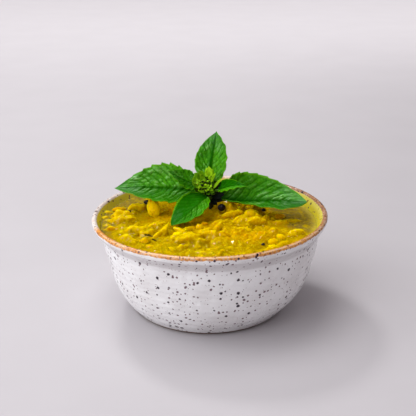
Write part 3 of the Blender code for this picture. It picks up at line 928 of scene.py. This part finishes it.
def make_leaf(name, leaf, material):
    places, share, across, up = leaf_places(leaf)
    s, v = np.meshgrid(share, across, indexing="ij")
    relief, near_vein, ridge = leaf_relief(leaf, s, v)
    normal = crossing(np.gradient(places, axis=1), np.gradient(places, axis=0))
    facing = np.sign(np.sum(normal * up[:, None], axis=2, keepdims=True))
    normal = normal * np.where(facing == 0, 1, facing)
    ripple = RIM_RIPPLE * np.abs(v) ** 3 * np.sin(2 * np.pi * (s * 5.3 + 0.3 * np.sign(v)) + leaf.seed)
    relief = relief + ripple * smoothstep(0, 0.15, s) * (1 - smoothstep(0.8, 1, s))
    places = places + normal * relief[..., None]

    # Painted shade deepens each side's green from its base to its tip, and in the fold along the midrib.
    on_right = smoothstep(-0.06, 0.06, v)
    valley = np.exp(-((np.abs(v) / 0.15) ** 2))
    sides = [base + (tip - base) * s + fold * valley for (base, tip), fold in zip(leaf.deep, leaf.fold)]
    deep = on_right * sides[0] + (1 - on_right) * sides[1]
    grids = {"near_vein": near_vein, "deep": np.clip(deep, 0, 1), "toward_tip": s, "toward_rim": np.abs(v),
             "ridge": ridge}
    faces = [face[::-1] for face in grid_faces(LEAF_ROWS, LEAF_COLUMNS)]
    part = (places.reshape(-1, 3), faces, {key: values.ravel() for key, values in grids.items()})
    piece = make_piece(name + "_blade", [part], material, "basil_leaf", name)
    solidify = piece.modifiers.new("thickness", "SOLIDIFY")
    solidify.thickness = LEAF_THICKNESS * MM
    solidify.offset = 0


def tube(points, radii):
    """A round tube through the points, as (places, faces, attributes), with its radius at each point."""
    line = smooth_curve(points, 8)
    thick = np.interp(np.linspace(0, 1, len(line)), np.linspace(0, 1, len(radii)), radii)
    way = np.gradient(line, axis=0)
    way /= np.linalg.norm(way, axis=1, keepdims=True)
    first = crossing(way, np.array([0.3, 1.0, 0.2]))
    second = crossing(way, first)
    turn = np.linspace(0, 2 * np.pi, STALK_SIDES, endpoint=False)
    rings = (line[:, None] + thick[:, None, None] * (first[:, None] * np.cos(turn)[None, :, None]
                                                    + second[:, None] * np.sin(turn)[None, :, None]))
    faces = grid_faces(len(line), STALK_SIDES, closed=True)
    last = (len(line) - 1) * STALK_SIDES
    faces += [tuple(range(STALK_SIDES))[::-1], tuple(range(last, last + STALK_SIDES))]
    return rings.reshape(-1, 3), faces, {}


def make_stem():
    """The sprig's stem, with a stalk from it into each leaf."""
    parts = [tube(STEM_PATH, STEM_RADII)]
    for leaf in LEAVES.values():
        place, _ = bezier(leaf.midrib, [0, 0.06, leaf.petiole + 0.04])
        level = min(max(leaf.midrib[0][2] - 1.5, 56.0), 64.0)
        parts.append(tube([(0.2, 16.7, level), *place], STALK_RADII))
    make_piece("basil_stalks", parts, stem_material(), "basil_stem", "basil_stem")


def stem_material():
    """Green at the top, and nearly black in the shade below."""
    s = Shader("basil_stem", Roughness=0.5, Subsurface_Weight=0.1, Subsurface_Radius=(0.5, 1.0, 0.2),
               Subsurface_Scale=0.6 * MM)
    low = s.height_step(*STALK_SHADE, s.noise(2.0) * 4)
    return s.feed(Base_Color=s.mix(low, STALK_GREEN, STALK_BLACK), Normal=s.bump(s.noise(0.6), 0.1))


def leaf_material(name, gloss, depth):
    """A basil leaf's green, with this much gloss and this share of painted shade over the whole leaf."""
    s = Shader(name, Subsurface_Weight=0.12, Subsurface_Radius=(0.2, 1.0, 0.05), Subsurface_Scale=0.6 * MM)
    vein = s.attribute("near_vein")
    tip = s.math("ADD", s.attribute("toward_tip"), (s.noise(5, 3) - 0.5) * 0.7, clamp=True)
    deep = s.math("ADD", s.attribute("deep"), depth, clamp=True)
    # A painted sheen on the quilts' ridges, less where painted shade lies.
    ridge = s.attribute("ridge") * (0.9 - deep * 0.8) * s.noise(6).step(0.35, 0.55)
    colour = s.painted(
        LEAF_GREEN,
        (tip, TIP_GREEN),
        # Painted shade deepens the green.
        (deep, PAINTED_SHADE_GREEN),
        (s.noise(1.3, 3).step(0.42, 0.66) * 0.6, PATCH_GREEN),
        (ridge, PAINTED_SHEEN_GREEN),
        # Painted shade in the grooves of the veins.
        (vein * 0.8, VEIN_GROOVE_SHADE),
        # A lighter rim, partly the leaf's own colour and partly a painted highlight.
        (s.attribute("toward_rim").step(0.90, 0.97) * 0.6, RIM_GREEN_AND_HIGHLIGHT),
    )
    cells = s.value("Distance", "TexVoronoi", {"Vector": s.place(), "Scale": 1 / (0.9 * MM)},
                    feature="DISTANCE_TO_EDGE")
    relief = cells.step(0.0, 0.22) * 0.35 + s.noise(0.5) * 0.3
    shine = (ridge * 0.9 + tip.step(0.55, 1.0, 0.06, 0.55)) * (1.0 - vein) * gloss
    return s.feed(Base_Color=colour, Roughness=s.noise(3).step(0.2, 0.8, 0.26, 0.38),
                  Specular_IOR_Level=shine, Normal=s.bump(relief, 0.14))


def leaflet(base, tip, facing, width, cup, curl, rows, columns, thickness):
    """A small pointed leaf from base to tip with its upper face towards facing."""
    base, tip, facing = (np.array(p, float) for p in (base, tip, facing))
    length = np.linalg.norm(tip - base)
    along = (tip - base) / length
    right = crossing(along, facing)
    up = crossing(right, along)
    s, v = np.meshgrid(np.linspace(0, 1, rows), np.linspace(-1, 1, columns), indexing="ij")
    half = np.maximum(width / 2 * blade_width(s, 0.42, 1.7), 0.05)
    bend = curl * length * s**2 - cup * length * 0.5 * np.sin(np.pi * s)
    lift = 0.3 * half * np.abs(v) ** 1.3 + 0.12 * half * np.cos(9 * s) * v**2
    upper = (base + along * (s * length)[..., None] + right * (half * v)[..., None]
             + up * (bend + lift)[..., None])
    normal = crossing(np.gradient(upper, axis=0), np.gradient(upper, axis=1))
    normal = normal * np.sign(np.sum(normal * up, axis=2, keepdims=True) + 1e-9)
    lower = upper - normal * thickness
    index = np.arange(rows * columns).reshape(rows, columns)
    faces = [face[::-1] for face in grid_faces(rows, columns)]
    faces = faces + [tuple(i + index.size for i in face[::-1]) for face in faces]
    loop = np.r_[index[0], index[1:, -1], index[-1, -2::-1], index[-2:0:-1, 0]].tolist()
    for a, b in zip(loop, loop[1:] + loop[:1]):
        faces.append((a, b, b + index.size, a + index.size))
    return np.concatenate([upper.reshape(-1, 3), lower.reshape(-1, 3)]), faces


BUD_AXIS = ((0.2, 16.7, 58.5), (-0.6, 16.4, 70.8))
BUD_TIERS = 9
LOWER_TIERS = 6
BRACTS_IN_LOWER = 9
BRACTS_IN_UPPER = 6
BRACT_REACH = 4.4
# Leaflets of the sprig's tip that stand out: base, tip, where they face, width, cup, curl, how young and
# light they are, from 0 to 1, the light green partly a painted highlight, and how far they are painted black
# as shade.
TIP_LEAFLETS = [
    ((-0.2, 11.8, 70.2), (-0.4, 12.4, 76.2), (0.1, -1, 0.3), 4.4, -0.15, 0.1, 0.85, 0),
    ((-1, 15, 65.6), (-8.8, 13.4, 72), (0.1, -1, 0.4), 5.6, 0.1, 0.05, 0.4, 0.2),
    ((-2.2, 14.4, 68.4), (-6, 13.4, 73.4), (0.1, -1, 0.4), 3.2, 0.2, 0.05, 0.5, 0.2),
    ((-1.6, 12.4, 69.8), (-1.6, 12.8, 75.2), (-0.5, -1, 0.3), 2.6, 0.2, 0.1, 0.8, 0.15),
    ((1, 14.8, 68.5), (2, 14.2, 74), (0.3, -1, 0.3), 2.4, 0.2, 0, 0.75, 0.2),
    ((-2.6, 12.6, 67.6), (-5.2, 10.4, 72.4), (0.3, -1, 0.3), 2.8, 0.35, 0.1, 0.65, 0.2),
    ((-5.6, 10.4, 66.8), (-9.4, 8.8, 71.8), (0.6, -0.9, 0.4), 3.6, 0.85, 0.3, 0.7, 0.1),
    ((-4.5, 11, 64.8), (-9.8, 7.8, 67.8), (0.1, -0.6, 0.9), 2.4, 0.4, 0.05, 0.4, 0.2),
    ((0.6, 11.4, 66.8), (3.3, 11.4, 72.7), (0.2, -1, 0.3), 1.5, 0.2, 0.1, 1, 0),
    ((2.4, 10.4, 64), (6.6, 10.8, 69.6), (0.2, -1, 0.3), 1.5, 0.2, 0.1, 0.95, 0),
    ((-0.6, 11, 68), (0.3, 10.4, 71.2), (0.2, -1, 0.3), 1.3, 0.2, 0.1, 0.8, 0),
    ((-0.2, 9.8, 65.6), (-5.8, 7.2, 66.2), (0, -0.8, 0.8), 1.6, 0.2, -0.05, 0.6, 0),
    ((-0.8, 9.8, 63), (-6.2, 7.6, 63.2), (0, -0.7, 0.9), 1.7, 0.3, 0.05, 0.4, 0.1),
    ((-2.5, 11.5, 68.4), (-7, 8.6, 69.6), (0, -0.6, 0.9), 1.8, 0.4, 0, 0.7, 0.1),
    ((-3.4, 10.6, 67), (-6.6, 7.8, 68), (0.2, -0.8, 0.8), 1.5, 0.3, 0.1, 0.9, 0),
    ((0.4, 12, 63), (1.9, 8.6, 62.9), (0, -0.5, 1), 2.2, 0.3, 0.1, 0.3, 0),
    ((-1, 12, 61), (-0.2, 8.6, 60.5), (0, -0.5, 1), 2.2, 0.3, 0.1, 0.2, 0.4),
    ((0.8, 10.8, 61.4), (2.6, 9.6, 62.2), (0, -0.6, 1), 1.6, 0.3, -0.1, 0.2, 0.3),
    ((-2, 14.6, 59.6), (-8.8, 12.6, 63.4), (0, -1, 0.4), 5, 0.2, 0, 0.1, 0.5),
    # These leaflets are painted nearly black, as shade among the stalks.
    ((0.6, 15, 63.5), (6.6, 12.2, 66.8), (0.3, -1, 0.3), 3.6, 0.2, 0.05, 0.2, 1),
    ((0.8, 13.2, 61), (6.6, 11.4, 64.8), (0.2, -1, 0.4), 4.6, 0.2, -0.05, 0.1, 1),
    ((1, 14, 58.6), (8.4, 12.2, 59.6), (0.1, -1, 0.5), 5, 0.2, 0, 0.1, 1),
    ((1.2, 15, 56.8), (7.6, 12.2, 55.8), (0.1, -0.9, 0.6), 3.6, 0.2, 0, 0.1, 1),
    ((0.8, 14.6, 55.4), (4.4, 12.4, 53.4), (0.3, -1, 0.3), 3, 0.2, 0, 0.1, 1),
    ((0.2, 14, 60.4), (-2.4, 10.6, 57.4), (-0.1, -1, 0.3), 3.6, 0.2, 0, 0.1, 1),
]
# The small round buds crowd round this place, within these reaches along each axis.
BUD_CROWD = ((-2.4, 11.0, 65.0), (4.8, 3.2, 4.4))
CROWDED_BUDS = 110
# The share of the crowded buds that are painted nearly black, as shade in the gaps.
GAP_SHADE_SHARE = 0.40
BUD_SIDES = 8
BUD_RINGS = 5
BUD_STRETCH = 1.35


def make_buds():
    """The sprig's tip: leaflets and whorls of small bracts round the stalk, with round buds between them."""
    rng = np.random.default_rng(5)
    low, high = (np.array(p) for p in BUD_AXIS)
    axis = (high - low) / np.linalg.norm(high - low)
    first = crossing(axis, np.array([0, 1.0, 0]))
    second = crossing(axis, first)
    parts = []
    for *form, young, dark in TIP_LEAFLETS:
        parts.append((*leaflet(*form, 16, 9, 0.22), {"young": young, "tone": rng.random(), "dark": dark}))
    for tier in range(BUD_TIERS):
        share = (tier + 0.5) / BUD_TIERS
        centre = low + (high - low) * share
        reach = BRACT_REACH * math.sin(math.pi * min(0.35 + 0.62 * share, 1)) ** 0.8
        count = BRACTS_IN_LOWER if tier < LOWER_TIERS else BRACTS_IN_UPPER
        for i in range(count):
            turn = i * 2 * math.pi / count + tier * GOLDEN_ANGLE + rng.normal(0, 0.15)
            out = first * math.cos(turn) + second * math.sin(turn)
            steep = 0.25 + 0.9 * share + rng.normal(0, 0.1)
            away = out * math.cos(steep) + axis * math.sin(steep)
            base = centre + out * reach * 0.45
            tip = base + away * (reach * 0.5 + rng.uniform(1.4, 2.4))
            facing = axis * math.cos(steep) - out * math.sin(steep)
            # Each bract takes a random share of the light green, partly a painted highlight, and of black, as
            # painted shade between them.
            parts.append((*leaflet(base, tip, facing, rng.uniform(1.3, 1.9), 0.3, 0.15, 9, 5, 0.2),
                          {"young": share * rng.random(), "tone": rng.random(), "dark": rng.random()}))
    middle, spread = (np.array(v) for v in BUD_CROWD)
    for _ in range(CROWDED_BUDS):
        way = rng.normal(0, 1, 3)
        way /= np.linalg.norm(way)
        place = middle + way * spread * rng.uniform(0.55, 1.0)
        # Some crowded buds are painted nearly black, as shade in the gaps between them.
        parts.append((*bud(place, rng.uniform(0.45, 0.80), way + rng.normal(0, 0.4, 3)),
                      {"young": rng.uniform(0, 0.9), "tone": rng.random(),
                       "dark": 0.9 * (rng.random() < GAP_SHADE_SHARE)}))
    make_piece("basil_buds_and_bracts", parts, bud_material(), "basil_buds", "basil_bud_cluster")


def bud(centre, radius, along):
    """A small bud, longer along the way it points."""
    along = along / np.linalg.norm(along)
    first = crossing(along, np.array([0.31, 0.2, 0.9]))
    second = crossing(along, first)
    places = []
    for i in range(1, BUD_RINGS):
        lean = math.pi * i / BUD_RINGS
        for j in range(BUD_SIDES):
            turn = 2 * math.pi * j / BUD_SIDES
            out = first * math.cos(turn) + second * math.sin(turn)
            places.append(centre + radius * (along * BUD_STRETCH * math.cos(lean) + math.sin(lean) * out))
    places += [centre + along * radius * BUD_STRETCH, centre - along * radius * BUD_STRETCH]
    top, bottom = len(places) - 2, len(places) - 1
    faces = grid_faces(BUD_RINGS - 1, BUD_SIDES, closed=True)
    last = (BUD_RINGS - 2) * BUD_SIDES
    for j in range(BUD_SIDES):
        k = (j + 1) % BUD_SIDES
        faces += [(j, k, top), (last + k, last + j, bottom)]
    return np.array(places), faces


def bud_material():
    s = Shader("basil_buds", Roughness=0.5, Specular_IOR_Level=0.15, Subsurface_Weight=0.2,
               Subsurface_Radius=(0.6, 1.0, 0.1), Subsurface_Scale=0.6 * MM)
    colour = s.painted(
        BUD_GREEN,
        # Light young green, partly a painted highlight.
        (s.attribute("young").step(0.1, 0.9), YOUNG_AND_HIGHLIGHT_GREEN),
        (s.attribute("tone") * 0.45, TONE_GREEN),
        (s.noise(2.2).step(0.45, 0.7) * 0.45, DULL_GREEN),
        # Painted shade: nearly black where a part stands in a gap.
        (s.attribute("dark"), GAP_SHADE_BLACK),
    )
    return s.feed(Base_Color=colour, Normal=s.bump(s.noise(0.8), 0.06))


# ---------------------------------------------------------------- loose pieces in the dal

# Split chickpeas that stand out: x, y, height of the middle over the broth, length, width, thickness,
# heading of the length, and tilt of the flat face away from level, both in degrees, with the way that
# it tilts as a heading, and how deep the tone is.
SPLIT_PEAS = [
    (-31.4, 8.2, 3.9, 11.6, 7.6, 3.4, 95, 70, -105, 0),
    (-52.4, 17, -0.1, 8.6, 6.4, 2.2, 10, 6, 90, 0.95),
    (17.8, -19, 0.6, 9.5, 7.4, 3, 5, 16, -90, 0.45),
    (27.8, -24, 0.6, 9, 5.8, 2.8, 8, 18, -80, 0.95),
    (38.5, 4.5, 0.1, 8, 5, 2.4, 15, 10, -90, 1),
    (23.2, 2.6, 2.6, 8.6, 6.8, 4, 5, 32, -90, 0.35),
    (-42, 15.5, 1.2, 7, 5.6, 3.4, 20, 25, -60, 0.1),
    (4, -46, 0, 9, 6.5, 2.4, 20, 10, -90, 0.5),
    (-20, -44, 0.2, 8, 6, 2.4, 160, 12, -90, 0.4),
    (33, -33, 0.3, 7.6, 5.6, 2.6, 35, 14, -60, 0.5),
]
WHOLE_PEAS = 16
BROKEN_PEAS = 80
# How fine the balls are that the pieces are shaped from.
PEA_DETAIL = 3
CRUMB_DETAIL = 2
SEED_DETAIL = 4
CHILLI_DETAIL = 2
# How ragged they are.
SHOWN_RAGGED = 0.07
PEA_RAGGED = 0.20
CRUMB_RAGGED = 0.34
CHILLI_RAGGED = 0.3
# Whole spices: x, y, height over the broth, radius, and how much longer than wide.
SEEDS = [
    (6.9, 10.3, 4, 2.2, 1), (-35.6, 18, 4.4, 1.45, 1.6), (-45.3, 6, 3.2, 0.85, 1.3),
    (30.5, 6.5, 4, 1, 1.25), (27.6, -37.2, 1.2, 0.75, 1.5),
]
# Shreds of leaf: x, y, height, length, width, heading in degrees.
SHREDS = [
    (-31.8, -31, 3.3, 7.5, 1.5, -50), (-28.4, -35.5, 2.8, 5, 0.9, -50), (-8, 10, 2, 3, 0.8, 10),
]
# Bits of red chilli: x, y, height, size.
CHILLI = [(22.5, -4, 3.4, 1.1), (16.8, 13, 4.3, 1.3), (24, 10, 3.6, 0.8), (28.5, -47.5, 1.1, 0.9)]


def turned_by(heading, tilt, toward):
    """Axes of a piece whose length heads one way and whose top tilts toward another, from degrees."""
    heading, tilt, toward = (math.radians(a) for a in (heading, tilt, toward))
    cos, sin = math.cos(heading), math.sin(heading)
    flat = np.array([[cos, sin, 0], [-sin, cos, 0], [0, 0, 1]])
    x, y = -math.sin(toward), math.cos(toward)
    skew = np.array([[0, 0, y], [0, 0, -x], [-y, x, 0]])
    turn = np.eye(3) + math.sin(tilt) * skew + (1 - math.cos(tilt)) * skew @ skew
    return flat @ turn.T


def split_pea(ball, centre, size, axes, seed, ragged):
    """Half of a soft chickpea: a dome on a nearly flat face, its outline and surface a little broken."""
    places, faces = ball
    x, y, z = places.T
    long, wide, thick = (0.5 * s for s in size)
    z = np.where(z > 0, z * 2 * thick * 0.8, z * 2 * thick * 0.2)
    oval = np.stack([x * long * (1 + 0.10 * x), y * wide, z], 1)
    rumple = roughened(places * max(size) / 2 + seed * 7.7, 0.45 * max(size) * 0.55, 91)
    oval *= (1 + ragged * rumple)[:, None]
    return oval @ axes + np.asarray(centre), faces


def pea_part(shape, tone):
    places, faces = shape
    return places, faces, {"tone": tone, "above": places[:, 2] - BROTH_LEVEL}


def place_in_dal(x, y):
    """The height of the sauce, or of the broth over it, and how boldly the heap stands out there."""
    return BROTH_LEVEL + np.maximum(sauce_height(x, y), 0), smoothstep(0.6, 2.8, region_height(x, y))


def make_split_peas(material):
    """Whole halves, first those that stand out and then others at random, as one piece."""
    rng = np.random.default_rng(23)
    ball = unit_ball(PEA_DETAIL)
    parts = []
    for i, (x, y, rise, long, wide, thick, heading, tilt, toward, tone) in enumerate(SPLIT_PEAS):
        centre, axes = (x, y, BROTH_LEVEL + rise), turned_by(heading, tilt, toward)
        parts.append(pea_part(split_pea(ball, centre, (long, wide, thick), axes, i, SHOWN_RAGGED), tone))
    for i, (x, y) in enumerate(scattered(rng, WHOLE_PEAS, 57, 0.25)):
        top, bold = place_in_dal(x, y)
        long = rng.uniform(4.8, 7.6)
        size = (long, long * rng.uniform(0.65, 0.85), rng.uniform(2.4, 3.4))
        steep = 8 + (10 + 40 * bold) * rng.random()
        axes = turned_by(rng.uniform(0, 180), steep, rng.uniform(-180, 180))
        centre = (x, y, top - rng.uniform(0.5, 1.3) + 0.8 * bold)
        shape = split_pea(ball, centre, size, axes, 50 + i, PEA_RAGGED)
        parts.append(pea_part(shape, rng.random() ** 1.5))
    make_piece("dal_split_peas", parts, material, "dal")


def make_crumbs(material):
    """Broken bits of pea in every size, as one piece."""
    rng = np.random.default_rng(29)
    ball = unit_ball(CRUMB_DETAIL)
    parts = []
    for i, (x, y) in enumerate(scattered(rng, BROKEN_PEAS, 58.5, 0.0)):
        top, bold = place_in_dal(x, y)
        long = rng.uniform(1.0, 2.6)
        size = (long, long * rng.uniform(0.4, 0.9), long * rng.uniform(0.25, 0.6))
        axes = turned_by(rng.uniform(0, 180), rng.uniform(0, 20 + 50 * bold), rng.uniform(-180, 180))
        centre = (x, y, top - size[2] * rng.uniform(0.0, 0.7 - 0.3 * bold))
        shape = split_pea(ball, centre, size, axes, 300 + i, CRUMB_RAGGED)
        parts.append(pea_part(shape, rng.random() ** 1.6))
    make_piece("dal_crumbs", parts, material, "dal")


def pea_material():
    s = food_shader("dal_pea", 0.34)
    colour = s.painted(
        PEA_YELLOW,
        (s.attribute("tone"), ORANGE),
        (s.noise(2.2, 4).step(0.50, 0.85), DEEP_YELLOW),
        (s.noise(0.8).step(0.55, 0.75) * 0.4, PALE),
        (s.attribute("above").step(0.35, -0.25), SUNKEN),
    )
    return s.feed(Base_Color=colour, Normal=s.bump(mealy(s), 0.3))


def make_seeds():
    rng = np.random.default_rng(31)
    ball, faces = unit_ball(SEED_DETAIL)
    parts = []
    for i, (x, y, rise, radius, stretch) in enumerate(SEEDS):
        wrinkle = np.abs(roughened(ball * 2.0 + 5 * i, 1.05, 95))
        shaped = ball * (radius * (1.06 - 0.26 * np.clip(0.35 - wrinkle, 0, 1) / 0.35))[:, None]
        axes = turned_by(rng.uniform(-30, 30), rng.uniform(0, 15), 0)
        parts.append((shaped * (stretch, 1, 0.92) @ axes + (x, y, BROTH_LEVEL + rise), faces, {}))
    s = Shader("whole_spice", Roughness=0.28, Specular_IOR_Level=0.35)
    colour = s.mix(s.noise(0.8, 3), (0.002, 0.001, 0.005), (0.014, 0.005, 0.014))
    material = s.feed(Base_Color=colour, Normal=s.bump(s.noise(0.5, 3), 0.15))
    make_piece("dal_seeds", parts, material, "dal")


def make_shreds():
    parts = []
    for i, (x, y, rise, long, wide, heading) in enumerate(SHREDS):
        half = np.array([math.cos(math.radians(heading)), math.sin(math.radians(heading)), 0.06]) * long / 2
        middle = np.array([x, y, BROTH_LEVEL + rise])
        places, faces = leaflet(middle - half, middle + half, (0.1, -0.5, 0.85), wide, -0.12, 0.1, 16, 5, 0.25)
        places = places + 0.25 * roughened(places, 1.5, 97 + i, 2)[:, None] * (0.6, 0.6, 1.0)
        parts.append((places, faces, {}))
    s = Shader("wilted_herb", Roughness=0.5, Specular_IOR_Level=0.03)
    colour = s.mix(s.noise(1.2, 3), (0.022, 0.014, 0.0), (0.085, 0.050, 0.0))
    material = s.feed(Base_Color=colour, Normal=s.bump(s.noise(0.6), 0.12))
    make_piece("dal_herb_shreds", parts, material, "dal")


def make_chilli():
    ball = unit_ball(CHILLI_DETAIL)
    parts = []
    for i, (x, y, rise, size) in enumerate(CHILLI):
        centre, axes = (x, y, BROTH_LEVEL + rise), turned_by(37 * i, 30, 50 * i)
        form = (size, size * 0.7, size * 0.5)
        parts.append((*split_pea(ball, centre, form, axes, 400 + i, CHILLI_RAGGED), {}))
    s = Shader("chilli", Roughness=0.3, Coat_Weight=0.4, Coat_Roughness=0.1)
    material = s.feed(Base_Color=s.mix(s.noise(0.7), (0.62, 0.05, 0.008), (0.40, 0.02, 0.006)))
    make_piece("dal_chilli_bits", parts, material, "dal")


# ---------------------------------------------------------------- stage and camera

# The lights, in metres: place, size, power, colour, what it is aimed at, and its spread in degrees.
MIDDLE = (0, 0, 0.04)
WHITE = (1, 1, 1)
LIGHTS = {
    "window": ((-0.78, -0.36, 0.58), (1.4, 1.2), 10.8, (0.965, 0.985, 1.0), MIDDLE, 180),
    "top": ((-0.15, 0.05, 1.0), (0.7, 0.5), 4.0, WHITE, MIDDLE, 180),
    "sparkle": ((-0.30, 0.50, 0.75), (0.14, 0.14), 2.4, WHITE, MIDDLE, 180),
    "far": ((0, 1.5, 1.0), (2.5, 1.6), 14, WHITE, (0, 1.5, 0), 70),
}
FLOOR_HALF = 3
FLOOR_COLOURS = (0.48, 0.455, 0.475), (0.52, 0.495, 0.515)
SKY_COLOUR = (1.0, 0.94, 0.97, 1)
SKY_STRENGTH = 0.43
CAMERA_PLACE = (-0.00084, -0.43290, 0.21500)
CAMERA_DIP = 20.18
CAMERA_LENS = 72
CAMERA_SENSOR = 36


def make_stage():
    mesh = bpy.data.meshes.new("floor")
    corners = [(-1, -1), (1, -1), (1, 1), (-1, 1)]
    mesh.from_pydata([(x * FLOOR_HALF, y * FLOOR_HALF, 0) for x, y in corners], [], [(0, 1, 2, 3)])
    s = Shader("floor", Roughness=0.75)
    mesh.materials.append(s.feed(Base_Color=s.mix(s.noise(60, 3), *FLOOR_COLOURS)))
    add_object("floor", mesh)
    world = bpy.data.worlds.new("studio")
    world.use_nodes = True
    background = world.node_tree.nodes["Background"]
    background.inputs["Color"].default_value = SKY_COLOUR
    background.inputs["Strength"].default_value = SKY_STRENGTH
    world.cycles_visibility.glossy = False
    bpy.context.scene.world = world
    for name, (place, size, power, colour, aim, spread) in LIGHTS.items():
        data = bpy.data.lights.new(name, "AREA")
        data.shape = "RECTANGLE"
        data.size, data.size_y = size
        data.energy = power
        data.color = colour
        data.spread = math.radians(spread)
        light = add_object(name, data)
        light.location = place
        light.rotation_euler = (Vector(aim) - Vector(place)).to_track_quat("-Z", "Y").to_euler()


def make_camera():
    data = bpy.data.cameras.new("camera")
    data.lens = CAMERA_LENS
    data.sensor_width = CAMERA_SENSOR
    camera = add_object("camera", data)
    camera.location = CAMERA_PLACE
    camera.rotation_euler = (math.radians(90 - CAMERA_DIP), 0, 0)
    bpy.context.scene.camera = camera


bpy.context.scene.view_settings.view_transform = "Standard"
make_camera()
make_stage()
make_bowl()
make_dal()
peas = pea_material()
make_split_peas(peas)
make_crumbs(peas)
make_seeds()
make_shreds()
make_chilli()
make_stem()
make_buds()
leaf_green = leaf_material("basil_leaf", 0.85, 0.0)
shaded_green = leaf_material("basil_leaf_in_shade", 0.10, 0.35)
for leaf_name, leaf_form in LEAVES.items():
    make_leaf(leaf_name, leaf_form, shaded_green if leaf_name in SHADED_LEAVES else leaf_green)
